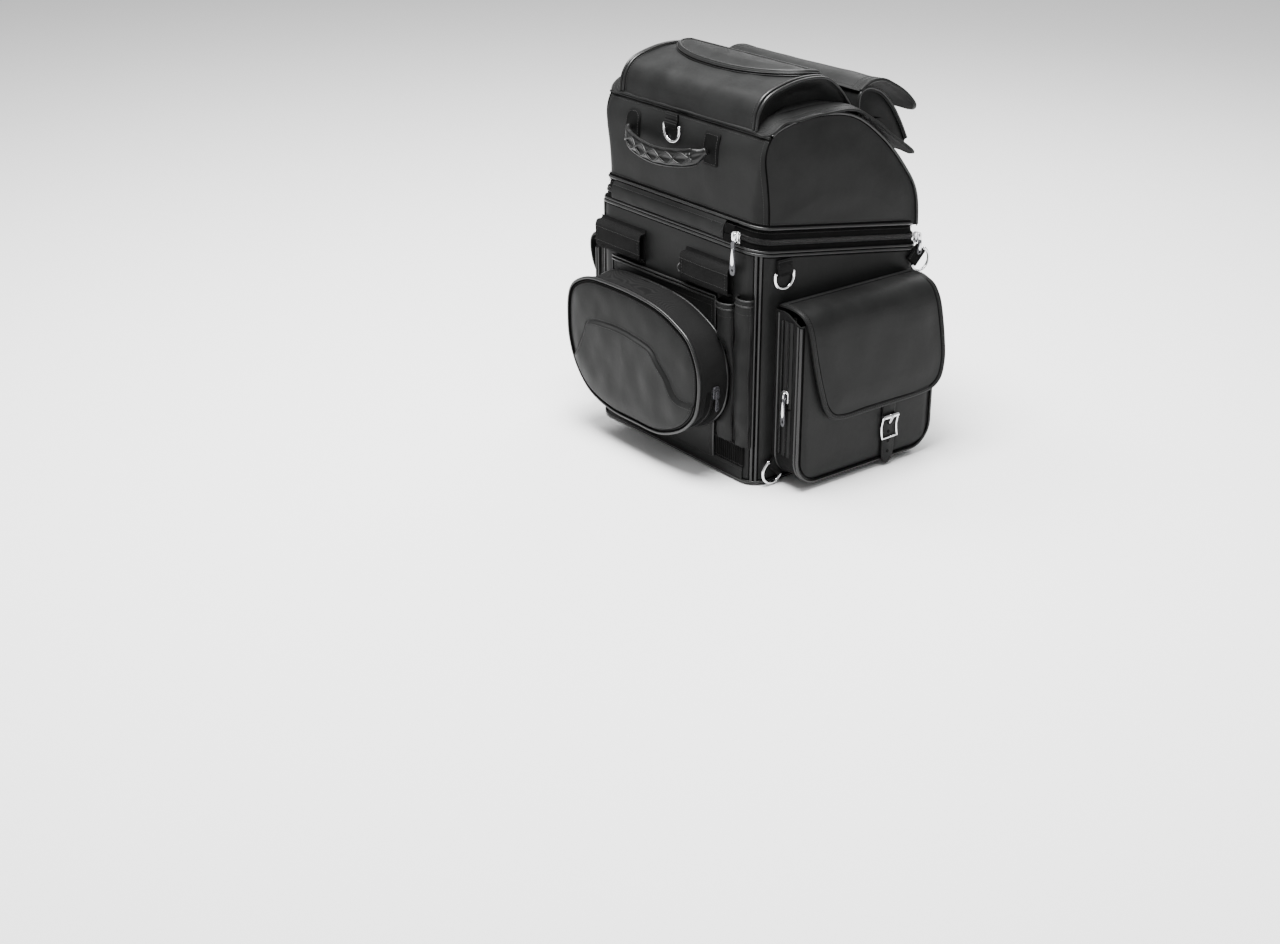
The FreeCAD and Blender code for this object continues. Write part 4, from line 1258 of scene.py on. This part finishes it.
def ring_tab(name, spot, turn, roll, long, body, side=1, wide=27.0):
    line = catmull([(0.2, 0, long), (0.7, 0, long * 0.5), (2.1, 0, 4.2), (3.2, 0, 0.4), (2.2, 0, -2.5),
                    (0, 0, -3.4),
                    (-1.9, 0, -2.3), (-2.3, 0, 1), (-2.1, 0, long * 0.5), (-2.0, 0, long - 0.5)], 46)
    path = turned(line, spot, turn, roll)
    across = turned([(0, 1, 0)], (0, 0, 0), turn, roll)[0]
    piece = band(name, path, across, wide, 1.7, WEB_Y, body, side)
    rows = []
    for z in (6.5, long - 3.0):
        rows.append([(1.35, y, z) for y in np.linspace(-wide / 2 + 2, wide / 2 - 2, 8)])
    for y in (-wide / 2 + 2, wide / 2 - 2):
        rows.append([(1.35, y, z) for z in np.linspace(6.5, long - 3.0, 6)])
    rows = [mirrored_line(turned(r, spot, turn, roll), side) for r in rows]
    stitches(name + "_stitch", rows, body, pitch=2.6, long=1.8, radius=0.36)
    return piece


for side, word in sides():
    for spot, roll, long, where in RING_SPOTS:
        piece = ring_tab("tab_%s_%s" % (where, word), spot, 0.0, roll, long, "main_bag", side)
        if side > 0 and where == "front_top":
            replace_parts(piece, "ring_tabs")


# ---------------------------------------------------------------- lid

front_half = lid_profile[: int(np.argmax(lid_profile[:, 1] > 503)) + 1]
lid_rows = spaced(front_half, 40)
crown = lid_profile[int(np.argmax(lid_profile[:, 1] > 503)):]


SEAM_TURN = 18.0


def turn_radius(z):
    return 21.0 - 18.0 * smooth01((np.asarray(z, float) - 392) / 104)


def wrap_row(y, z, count=95):
    """Front of the lid at one height: from the right side seam round both corners to the left one."""
    r = float(turn_radius(z))
    line = []
    for a in np.linspace(SEAM_TURN, 90, 14):
        line.append((LID_X - r + r * math.cos(math.radians(a)), y + r - r * math.sin(math.radians(a))))
    for a in np.linspace(90, 180 - SEAM_TURN, 14):
        line.append((-LID_X + r + r * math.cos(math.radians(a)), y + r - r * math.sin(math.radians(a))))
    return spaced(line, count)


p = np.zeros((95, 40, 3))
for j, (y, z) in enumerate(lid_rows):
    row = wrap_row(y, z)
    p[:, j, 0] = row[:, 0]
    p[:, j, 1] = row[:, 1]
    drop = -SLOPE * (row[:, 1] - y) * max(0.0, 1 - (z - LID_RIM) / 40)
    p[:, j, 2] = z + drop
swell = np.sin(np.linspace(0, np.pi, 40))[None, :] * np.sin(np.linspace(0, np.pi, 95))[:, None] ** 0.3
n3 = grid_normals(p)
p += -n3 * np.sign(n3[47, 20, 1]) * (1.6 * swell + ripple(p, 1.1, 42.0, 81.0))[:, :, None]
piece = sheet("lid_front", p, 2.4, [LEATHER, LINING], "lid", flip=bool(n3[47, 20, 1] > 0))
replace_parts(piece, "lid_front_panel")
lid_seam = p[0].copy()
# Painted shade: dark lines along the seams between the lid front and its sides.
ropes("lid_side_seam_shade", [lid_seam + arr([0.5, -0.3, 0]), p[-1] + arr([-0.5, -0.3, 0])], 1.15, SEAM_SHADE, "lid")
stitches("lid_front_stitch", [p[3:-3, -2], p[3:-3, -4], p[2], p[-3]], "lid")

xs = np.linspace(-LID_X, LID_X, 60)
rows = spaced(crown, 90)
p = over_profile(xs, rows)
p += grid_normals(p) * ripple(p, 0.8, 40.0, 91.0)[:, :, None]
piece = sheet("lid_crown", p, 2.4, [LEATHER, LINING], "lid", flip=grid_normals(p)[30, 30, 2] < 0)
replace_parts(piece, "lid_crown_panel")

rear_foot = lid_profile[-1]
seam_line = [(y + float(turn_radius(z)) * (1 - math.sin(math.radians(SEAM_TURN))), z) for y, z in lid_rows]
upper = spaced(crown, 120)
foot = [(y, rim_z(LID_RIM, y)) for y in np.linspace(rear_foot[0], seam_line[0][0], 50)][1:-1]
d_edge = spaced(np.vstack([seam_line, upper[1:], foot, seam_line[:1]]), 230, closed=True)
for side, word in sides():

    def side_lift(points, share):
        gap = 1 - share
        soft = clouds(points, 48.0, 7.0 * side)
        lift = (4.2 * smooth01(gap / 0.75) + 1.6 * soft * smooth01(gap / 0.3))
        return np.c_[lift, np.zeros((len(points), 2))]

    edge = at_x(d_edge, LID_X)
    piece = patch("lid_side_" + word, edge, (LID_X, 8, 425), 46, side_lift, (-2.4, 0, 0), [LEATHER, LINING],
                  "lid",
                  side=side, flip=True)
    if side > 0:
        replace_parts(piece, "lid_side_panels")
crown_cords = [[(side * (LID_X + 0.9), y, z + 0.9) for y, z in upper] for side in (-1, 1)]
lid_rim_cord = rim_loop(LID_X + 1.6, -149.2, 153.4, 22.0, LID_RIM + 2.6)
# Painted shade: dark lines just below and above the lid's rim cord.
lid_rim_shade_lines = [rim_loop(LID_X + 1.0, -149.0, 153.2, 22.0, LID_RIM + up) for up in (-0.6, 5.9)]
ropes("lid_rim_seam_shade", lid_rim_shade_lines, 0.95, SEAM_SHADE, "lid", closed=(0, 1))
# Painted shade: dark lines just below the crown cords on each side.
crown_shade_lines = [[(side * (LID_X + 0.9), y, z - 1.6) for y, z in upper] for side in (-1, 1)]
ropes("crown_seam_shade", crown_shade_lines, 0.9, SEAM_SHADE, "lid")
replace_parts(ropes("lid_cord", crown_cords + [lid_rim_cord], 2.3, CORD, "lid", closed=(2,)), "lid_piping")
stitches("lid_rim_stitch", [rim_loop(LID_X + 0.9, -148.4, 153.0, 22.0, LID_RIM + 8.5)], "lid")


# ---------------------------------------------------------------- apron over the lid

xs = np.linspace(-178, 178, 90)
rows = spaced(apron_profile, 70)
p = over_profile(xs, rows)
lean = smooth01((np.abs(p[:, :, 0]) - 158) / 20)
p[:, :, 2] -= 3.4 * lean
edge_lift = np.exp(-((p[:, :, 1] - 118) / 26) ** 2) + 0.7 * np.exp(-((p[:, :, 1] + 112) / 16) ** 2)
p[:, :, 2] += lean * 3.0 * edge_lift
p += grid_normals(p) * (np.sign(grid_normals(p)[45, 35, 2]) * (1.0 * ripple(p, 1.3, 34.0, 101.0) + 0.5))[:,
        :, None]
down = np.cumsum(np.r_[0, np.linalg.norm(np.diff(rows, axis=0), axis=1)])
short = np.clip(16 - np.minimum(down, down[-1] - down), 0, 16)
p[:, :, 0] *= ((178 - (16 - np.sqrt(16 ** 2 - short ** 2))) / 178)[None, :]
apron = sheet("apron_sheet", p, 3.4, [LEATHER, UNDER], "lid", flip=grid_normals(p)[45, 35, 2] < 0)
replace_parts(apron, "apron")
up = arr([0, 0, 0.25])
ropes("apron_edge", [np.vstack([p[0], p[1:-1, -1], p[-1][::-1], p[1:-1, 0][::-1]]) - arr([0, 0, 1.5])], 1.7,
      LEATHER, "lid",
      closed=(0,))
seam_x = np.linspace(-175, 175, 60)
ropes("lid_top_cord", [[(x, -136.4, 501.7) for x in seam_x]], 2.1, LEATHER, "lid")
stitches("lid_top_stitch", [[(x, float(np.interp(496.5, lid_profile[:200, 1], lid_profile[:200, 0])) - 0.7,
                              496.5)
                             for x in seam_x]], "lid")
stitches("apron_stitch", [p[1] + up, p[-2] + up, p[3] + up, p[-4] + up, p[4:-4, -3] + up, p[4:-4, 2] + up],
         "lid")


# ---------------------------------------------------------------- roll with a half-moon pocket

ROLL_X = 150.0
COVER_X0, COVER_X1, COVER_BACK, COVER_FRONT = -136.0, 139.0, -16.0, -88.0


def moon(grow, count=160):
    """Half-moon in plan: straight at the back, round at the front."""
    xc, half, deep = (COVER_X0
                      + COVER_X1) / 2, (COVER_X1 - COVER_X0) / 2 + grow, COVER_BACK - COVER_FRONT + grow
    line = []
    for a in np.linspace(0, np.pi, 60):
        c, s = math.cos(a), math.sin(a)
        line.append((xc + half * math.copysign(abs(c) ** 0.92, c), COVER_BACK - deep * s ** 0.80))
    line.append((xc - half, COVER_BACK + grow))
    line.append((xc + half, COVER_BACK + grow))
    line.append(line[0])
    return spaced(line, count, closed=True)


xs = np.linspace(-ROLL_X, ROLL_X, 121)
rows = spaced(roll_profile, 80)
p = over_profile(xs, rows)
n3 = grid_normals(p)
sign = np.sign(n3[60, 40, 2])
crest = np.sin(np.linspace(0, np.pi, 121))[:, None] ** 0.25
p += n3 * sign * (1.2 * crest + ripple(p, 1.4, 33.0, 111.0) * crest - 0.6)[:, :, None]
verts, faces, mats = sheet_data(p, 2.6, flip=bool(sign < 0))
hole = moon(-13.0)
centres = arr([verts[list(f)].mean(0) for f in faces])
gone = (inside(centres[:, :2], hole) > 0) & (centres[:, 2] > 535)
faces = [f for f, g in zip(faces, gone) if not g]
mats = [m for m, g in zip(mats, gone) if not g]
roll = mesh("roll", verts, faces, [SOFT, LINING], "lid", mats)
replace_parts(roll, "roll_shell")
roll_line = spaced(roll_profile, 90)
base_line = [(y, float(apron_top(y)) + 0.5) for y in np.linspace(roll_line[-1, 0], roll_line[0, 0], 40)][1:-1]
end_edge = spaced(np.vstack([roll_line, base_line, roll_line[:1]]), 150, closed=True)
end_mid = end_edge.mean(0)
for side, word in sides():

    def hollow(points, share):
        soft = clouds(points, 22.0, 5.0)
        dip = -(9.0 * smooth01((1 - share) / 0.7)) + 1.6 * soft * smooth01((1 - share) / 0.3)
        return np.c_[dip, np.zeros((len(points), 2))]

    piece = patch("roll_end_" + word, at_x(end_edge, ROLL_X - 2.0), (ROLL_X - 2.0, end_mid[0], end_mid[1]),
                  26, hollow,
                  (-2.0, 0, 0), [LEATHER, LINING], "lid", side=side, flip=True)
arches = []
for side in (-1, 1):
    for x, g in ((ROLL_X - 0.5, 0.4), (ROLL_X - 7.0, 1.6)):
        arches.append([(side * x, y, z + g) for y, z in roll_line])
roll_cords = ropes("roll_cord", arches, 2.3, CORD, "lid")
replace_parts(roll_cords, "top_bag_piping")
rows = [[(side * (ROLL_X - 12), y, z + 1.9) for y, z in roll_line] for side in (-1, 1)]
stitches("roll_end_stitch", rows, "lid")

cover_edge = moon(0.0)
crest_y = np.clip(cover_edge[:, 1], -100, 20)
cover_base = np.c_[cover_edge, roll_top(crest_y) + 0.9]
cover_mid = arr([1.5, -50, 0])


def cover_lift(points, share):
    z = roll_top(np.clip(points[:, 1], -100, 20))
    gap = inside(points[:, :2], cover_edge)
    wall_up = 5.6 * smooth01((gap + 0.6) / 1.7)
    lip = 1.0 * np.exp(-((gap - 3.4) / 1.7) ** 2)
    puff = 3.6 * smooth01((gap - 5) / 22)
    soft = clouds(points, 26.0, 2.0) * 1.3 * smooth01((gap - 4) / 14)
    return np.c_[np.zeros((len(points), 2)), z + 0.9 + wall_up + lip + puff + soft - points[:, 2]]


piece = patch("roll_cover_pad", cover_base, cover_mid + arr([0, 0, 566]), 60, cover_lift, (0, 0, -2.4),
              [SOFT, LINING],
              "roll_cover", flip=True)
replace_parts(piece, "roll_cover")
cords = []
for g, h in ((1.0, 1.6), (0.6, 4.6)):
    edge = moon(g)
    cords.append(np.c_[edge, roll_top(np.clip(edge[:, 1], -100, 20)) + h])
ropes("cover_zip_lines", cords, 1.0, COIL, "roll_cover", closed=(0, 1))
edge = moon(-3.4)
ropes("cover_cord", [np.c_[edge, roll_top(np.clip(edge[:, 1], -100, 20)) + 7.3]], 1.5, CORD, "roll_cover",
      closed=(0,))
edge = moon(-7.5)
flat = np.c_[edge, np.full(len(edge), 566.0)]
stitches("cover_stitch", [flat + cover_lift(flat, 0) + arr([0, 0, 0.2])], "roll_cover")


# ---------------------------------------------------------------- rear top pocket and flap

REAR_X = 148.0
rear_profile = catmull(REAR_LINE, 90)
xs = np.linspace(-REAR_X, REAR_X, 100)
p = over_profile(xs, rear_profile)
n3 = grid_normals(p)
sign = np.sign(n3[50, 45, 2])
crest = np.sin(np.linspace(0, np.pi, 100))[:, None] ** 0.3
p += n3 * sign * (ripple(p, 1.8, 36.0, 121.0) * crest - 1.4)[:, :, None]
rear = sheet("rear_pocket_pad", p, 2.4, [SOFT, LINING], "lid", flip=bool(sign < 0))
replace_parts(rear, "rear_pocket")
rear_line = spaced(rear_profile, 80)
rear_base = [(y, float(apron_top(y)) - 1) for y in np.linspace(rear_line[-1, 0], rear_line[0, 0], 30)][1:-1]
rear_edge = spaced(np.vstack([rear_line, rear_base, rear_line[:1]]), 120, closed=True)
rear_mid = rear_edge.mean(0)
for side, word in sides():

    def rear_lift(points, share):
        return np.c_[np.full(len(points), 3.0 * smooth01((1 - share) / 0.6) - 3.0),
                     np.zeros((len(points), 2))]

    patch("rear_pocket_end_" + word, at_x(rear_edge, REAR_X), (REAR_X, rear_mid[0], rear_mid[1]), 16,
          rear_lift,
          (-2, 0, 0), [LEATHER], "lid", side=side, flip=True)
ropes("rear_pocket_cord", [[(side * (REAR_X - 0.5), y, z + 0.6) for y, z in rear_line] for side in (-1, 1)],
      2.0, CORD,
      "lid")

flap_rows = catmull(FLAP_LINE, 80)
xs = np.linspace(-147, 147, 100)
p = over_profile(xs, flap_rows)
n3 = grid_normals(p)
sign = np.sign(n3[50, 40, 2])
tip = smooth01((np.linspace(0, 1, 80)[None, :] - 0.9) / 0.1)
edge_up = smooth01((np.abs(p[:, :, 0]) - 128) / 19) * np.sin(np.linspace(0, np.pi, 80))[None, :]
p += n3 * sign * (ripple(p, 1.5, 52.0, 131.0) + 0.6 * tip + 1.4 * edge_up)[:, :, None]
down = length_of(flap_rows) * (1 - np.linspace(0, 1, 80))
short = np.clip(24 - down, 0, 24)
reach = 147 - (24 - np.sqrt(np.clip(24 ** 2 - short ** 2, 0, None)))
p[:, :, 0] *= (reach / 147)[None, :]
flap = sheet("top_flap_sheet", p, 4.4, [LEATHER, UNDER], "top_flap", flip=bool(sign < 0))
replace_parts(flap, "top_flap")
up = arr([0, 0, 0.3])
stitches("top_flap_stitch", [p[3] + up, p[-4] + up, p[6] + up, p[-7] + up, p[6:-6, -4] + up, p[6:-6, -8] + up,
                             p[6:-6, 3] + up], "top_flap")
drop = arr([0, 0.4, 1.9])
ropes("top_flap_edge", [np.vstack([p[0, 2:-1], p[:, -1], p[-1, 2:-1][::-1]]) - drop], 2.6, LEATHER,
      "top_flap")


# ---------------------------------------------------------------- handle

HANDLE_X0, HANDLE_X1 = -106.0, 68.0
TWIST = 0.115
path = catmull([(HANDLE_X0, -156.5, 466), (-98, -163, 460), (-82, -170, 453.5), (-19, -177, 446.5),
                (44, -170, 453.5),
                (60, -163, 460), (HANDLE_X1, -156.5, 466)], 140)
t = np.linspace(-1, 1, 140)
along = np.gradient(path, axis=0)
along /= np.linalg.norm(along, axis=1)[:, None]
step = np.r_[0, np.cumsum(np.linalg.norm(np.diff(path, axis=0), axis=1))]


def across_grip(i):
    """Directions through the grip and up its height at station i."""
    u = np.cross(along[i], arr([0, 0, 1]))
    u /= np.linalg.norm(u)
    return u, np.cross(u, along[i])


def handle_point(i, rise, front, proud=0.0):
    """Place on the grip at station i: rise from -1 to 1 up its height, front from -1 to 1 through it."""
    u, w = across_grip(i)
    grip = smooth01((1 - abs(t[i])) / 0.26)
    deep = (1.0 if front > 0 else 0.72) * (4.6 + 1.9 * grip + proud)
    return path[i] + u * front * deep + w * rise * (5.4 + 6.8 * grip + proud)


rings = []
for i in range(140):
    grip = smooth01((1 - abs(t[i])) / 0.22)
    ring = []
    for k in range(44):
        a = TAU * k / 44
        eye = abs(math.sin(step[i] * TWIST)) * math.exp(-(math.sin(a) / 0.34) ** 2)
        side_cut = abs(math.cos(step[i] * TWIST)) * math.exp(-((abs(math.sin(a)) - 0.72) / 0.2) ** 2)
        ring.append(handle_point(i, math.sin(a), math.cos(a), -grip * (2.6 * eye + 1.7 * side_cut)))
    rings.append(ring)
verts, faces = loft_data(rings)
handle = mesh("handle_grip", verts, faces, [CARVED], "handle")
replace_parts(handle, "handle")
collars = []
for i in (17, 21, 118, 122):
    ring = []
    u, w = across_grip(i)
    for k in range(24):
        a = TAU * k / 24
        ring.append(path[i] + u * math.cos(a) * 6.8 + w * math.sin(a) * 7.4)
    collars.append(arr(ring))
ropes("handle_collars", collars, 0.9, CORD, "handle", closed=(0, 1, 2, 3))
strands = []
for turn in (-1, 1):
    rise = [0.60 * turn * math.sin(step[i] * TWIST) for i in range(16, 124)]
    strands.append([handle_point(i, q, math.sqrt(1 - q * q), 0.2) for i, q in zip(range(16, 124), rise)])
    strands.append([handle_point(i, turn * 0.94, 0.34, 0.2) for i in range(14, 126)])
ropes("handle_strands", strands, 1.5, CARVED, "handle")


def lid_front_y(z):
    return np.interp(z, lid_profile[:200, 1], lid_profile[:200, 0])


for k, (x0, round_r) in enumerate(((HANDLE_X0, 13.0), (HANDLE_X1, 4.0))):
    outline = []
    for cx, cz, a0 in ((x0 + 16 - round_r, 490 - round_r, 0), (x0 - 16 + round_r, 490 - round_r, 90),
                       (x0 - 16 + round_r, 444 + round_r, 180), (x0 + 16 - round_r, 444 + round_r, 270)):
        outline += [polar(cx, cz, round_r, a) for a in np.linspace(a0, a0 + 90, 10)]
    outline = spaced(outline + outline[:1], 90, closed=True)
    base3 = np.c_[outline[:, 0], lid_front_y(outline[:, 1]) - 1.0, outline[:, 1]]

    def anchor_lift(points, share):
        y = lid_front_y(points[:, 2]) - 2.4
        gap = inside(points[:, [0, 2]], outline)
        mound = 2.6 * np.exp(-(((points[:, 0] - x0) / 9) ** 2 + ((points[:, 2] - 466) / 10) ** 2))
        return np.c_[np.zeros(len(points)), y - 1.3 * smooth01(gap / 2.4) - mound - points[:, 1],
                     np.zeros(len(points))]

    # The anchors take the painted-shade leather.
    piece = patch("handle_anchor_%d" % (k + 1), base3, (x0, -150, 467), 24, anchor_lift, (0, 1.8, 0),
                  [DARK], "lid")
    inner = x0 + (outline[:, 0] - x0) * 0.82, 467 + (outline[:, 1] - 467) * 0.87
    ring = np.c_[inner[0], np.full(90, -150.0), inner[1]]
    stitches("handle_anchor_stitch_%d" % (k + 1), [ring + anchor_lift(ring, 0) + PROUD], "lid")
    if k == 0:
        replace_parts(piece, "lid_tabs")
ring_tab("tab_lid", (-16, -149.9, 484), -90.0, 0.0, 18.0, "lid")


# ---------------------------------------------------------------- sliders and pulls

def rounded(points, count=60):
    return catmull(points, count, closed=True)


def main_slider(name, body, axes, cad, pull_body, pull_axes, pull_cad, pull_long, wide=1.0):
    """Plated zip slider with a bridge, and a dark pull with a bright drop and a hole at its end."""
    o, u, v, n = [arr(q) for q in axes]
    shape = rounded([(-8, -5.5), (-3, -7.6), (4, -8.4), (8, -6.5), (7, 0), (8, 6.5), (4, 8.4), (-3, 7.6),
                     (-8, 5.5),
                     (-8.6, 0)])
    piece = extruded(name, shape, None, (o + n * 0.2, u, v, n), 2.2, CHROME, body)
    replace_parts(piece, cad)
    extruded(name + "_top", shape * 0.86, None, (o + n * 2.8, u, v, n), 1.5, CHROME, body)
    bridge = catmull([o + v * 6.5 + n * 3.6, o + v * 5.0 + n * 5.6, o + n * 6.6, o - v * 4.8 + n * 5.6,
                      o - v * 6.3 + n * 3.6], 24)
    band(name + "_bridge", bridge, u, 3.6, 1.3, CHROME, body)
    po, pu, pv, pn = [arr(q) for q in pull_axes]
    long = pull_long
    outline = rounded([(-2.4, 1.2), (2.4, 1.2), (3.2, long * 0.14), (3.0, long * 0.3), (4.4, long * 0.7),
                       (4.5, long * 0.86),
                       (2.6, long * 0.985), (0, long), (-2.6, long * 0.985), (-4.5, long * 0.86),
                       (-4.4, long * 0.7),
                       (-3.0, long * 0.3), (-3.2, long * 0.14)], 72) * arr([wide, 1])
    a = np.arctan2(outline[:, 1] - long * 0.85, outline[:, 0])
    hole = np.c_[1.7 * np.cos(a), long * 0.85 + 1.7 * np.sin(a)]
    piece = extruded(pull_body + "_body", outline, hole, (po, pu, pv, pn), 2.0, BLACK_CHROME, pull_body)
    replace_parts(piece, pull_cad)
    drop = rounded([(0, long * 0.2), (1.2, long * 0.36), (2.1, long * 0.56), (1.5, long * 0.68),
                    (0, long * 0.72),
                    (-1.5, long * 0.68), (-2.1, long * 0.56), (-1.2, long * 0.36)],
                   40) * arr([wide * 1.25, 1])
    extruded(pull_body + "_drop", drop, None, (po + pn * 1.9, pu, pv, pn), 0.8, CHROME, pull_body)


main_slider("slider_front_body", "slider_front", ((139, -158.9, 361.5), (1, 0, 0), (0, 0, 1), (0, -1, 0)),
            "slider_front", "pull_front", ((139, -165.3, 357), (1, 0, 0), (0, 0, -1), (0, -1, 0)),
            "pull_front", 49.0, 1.2)
zb = rim_z(ZIP_MID, 144)
main_slider("slider_rear_body", "slider_rear", ((182.9, 144, zb), (0, -0.988, 0.153), (0, 0, 1), (1, 0, 0)),
            "slider_rear", "pull_rear", ((189.2, 144, zb - 2.4), (0, 1, 0), (0, 0, -1), (1, 0, 0)),
            "pull_rear", 22.0)

for side, word in sides():
    o = arr([209, PY0 - 2.4, 141])
    shape = rounded([(-5.4, -8.4), (5.4, -8.4), (6.2, 0), (5.2, 8.2), (0, 9.2), (-5.2, 8.2), (-6.2, 0)])
    piece = extruded("pocket_slider_body_" + word, shape, None, (o, (1, 0, 0), (0, 0, 1), (0, -1, 0)), 3.4,
                     CHROME,
                     "pocket_slider_" + word, side)
    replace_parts(piece, "pocket_slider_" + word)
    outline = rounded([(-2.2, 3), (2.2, 3), (2.8, -6), (4.0, -36), (2.8, -43), (0, -44.5), (-2.8, -43),
                       (-4.0, -36),
                       (-2.8, -6)], 60)
    a = np.arctan2(outline[:, 1] + 37, outline[:, 0])
    hole = np.c_[1.6 * np.cos(a), -37 + 2.4 * np.sin(a)]
    extruded("pocket_pull_" + word, outline, hole, (o + arr([0, -5.0, 0]), (1, 0, 0), (0, 0, 1),
                                                    (0, -1, 0)), 1.8,
             BLACK_CHROME, "pocket_slider_" + word, side)
    drop = rounded([(0, -6), (1.3, -13), (2.3, -24), (1.6, -29), (0, -31), (-1.6, -29), (-2.3, -24),
                    (-1.3, -13)], 40)
    extruded("pocket_drop_" + word, drop, None, (o + arr([0, -6.8, 0]), (1, 0, 0), (0, 0, 1), (0, -1, 0)),
             0.8,
             CHROME, "pocket_slider_" + word, side)
    loop = mirrored_line(catmull([o + arr([0, -3.2, 6]), o + arr([0, -5.8, 4.6]), o + arr([0, -6.6, 1]),
                                  o + arr([0, -5.4, -3]), o + arr([0, -3.2, -4])], 20), side)
    ropes("pocket_bridge_" + word, [loop], 0.9, CHROME, "pocket_slider_" + word)

low_box, high_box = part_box("pouch_slider")
low_box, high_box = arr(low_box) / MM, arr(high_box) / MM
mid = (low_box + high_box) / 2
o = arr([low_box[0] + 0.3, mid[1], mid[2]])
shape = rounded([(-5.2, -8), (5.2, -8), (5.8, 0), (4.6, 8.4), (-4.6, 8.4), (-5.8, 0)])
piece = extruded("pouch_slider_body", shape, None, (o, (0, 1, 0), (0, 0, 1), (1, 0, 0)), 2.8, BLACK_CHROME,
                 "pouch_slider")
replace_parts(piece, "pouch_slider")
outline = rounded([(-1.8, 2), (1.8, 2), (2.6, -14), (3.0, -24), (0, -28), (-3.0, -24), (-2.6, -14)], 50)
extruded("pouch_pull", outline, None, (o + arr([3.2, 0, 0]), (0, 1, 0), (0, 0, 1), (1, 0, 0)), 1.4,
         BLACK_CHROME,
         "pouch_slider")


# ---------------------------------------------------------------- camera, light, floor

cam_data = bpy.data.cameras.new("camera")
cam_data.lens = 54.84
cam_data.sensor_width = 36.0
cam_data.clip_start = 0.05
camera = bpy.data.objects.new("camera", cam_data)
bpy.context.scene.collection.objects.link(camera)
camera.location = (2.0739, -1.8300, 1.1569)
az, el = math.radians(52.153), math.radians(24.173)
back = Vector((math.sin(az) * math.cos(el), -math.cos(az) * math.cos(el), math.sin(el)))
camera.rotation_euler = (-back).to_track_quat("-Z", "Y").to_euler()
bpy.context.scene.camera = camera

world = bpy.data.worlds.new("studio")
bpy.context.scene.world = world
world.use_nodes = True
world.node_tree.nodes["Background"].inputs["Color"].default_value = (1, 1, 1, 1)
world.node_tree.nodes["Background"].inputs["Strength"].default_value = 0.52


def lamp(name, place, target, size, power):
    data = bpy.data.lights.new(name, "AREA")
    data.shape = "RECTANGLE"
    data.size, data.size_y = size
    data.energy = power
    made = bpy.data.objects.new(name, data)
    bpy.context.scene.collection.objects.link(made)
    made.location = place
    made.rotation_euler = (Vector(target) - Vector(place)).to_track_quat("-Z", "Y").to_euler()


lamp("key", (0.15, -0.45, 2.6), (0, 0, 0.3), (1.2, 1.2), 250)
lamp("side", (1.9, -0.3, 2.2), (0, 0, 0.25), (0.9, 0.9), 14)
lamp("sheen", (-1.15, -0.55, 2.6), (0, 0, 0.45), (0.9, 0.9), 62)
lamp("back", (-0.8, 1.4, 1.8), (0, 0, 0.4), (1.0, 1.0), 30)

xs = np.linspace(-6000, 6000, 13)
p = np.zeros((13, 13, 3))
p[:, :, 0] = xs[:, None]
p[:, :, 1] = xs[None, :]
p[:, :, 2] = -0.6
verts = p.reshape(-1, 3)
faces = [(i * 13 + j, (i + 1) * 13 + j, (i + 1) * 13 + j + 1,
          i * 13 + j + 1) for i in range(12) for j in range(12)]
floor_mat, tree, shader = nodes_of("pale_floor", (0.86, 0.86, 0.86), 0.85)
floor_data = bpy.data.meshes.new("floor")
floor_data.from_pydata([tuple(v) for v in verts * MM], [], faces)
floor_data.materials.append(floor_mat)
floor = bpy.data.objects.new("floor", floor_data)
bpy.context.scene.collection.objects.link(floor)

bpy.context.view_layer.update()
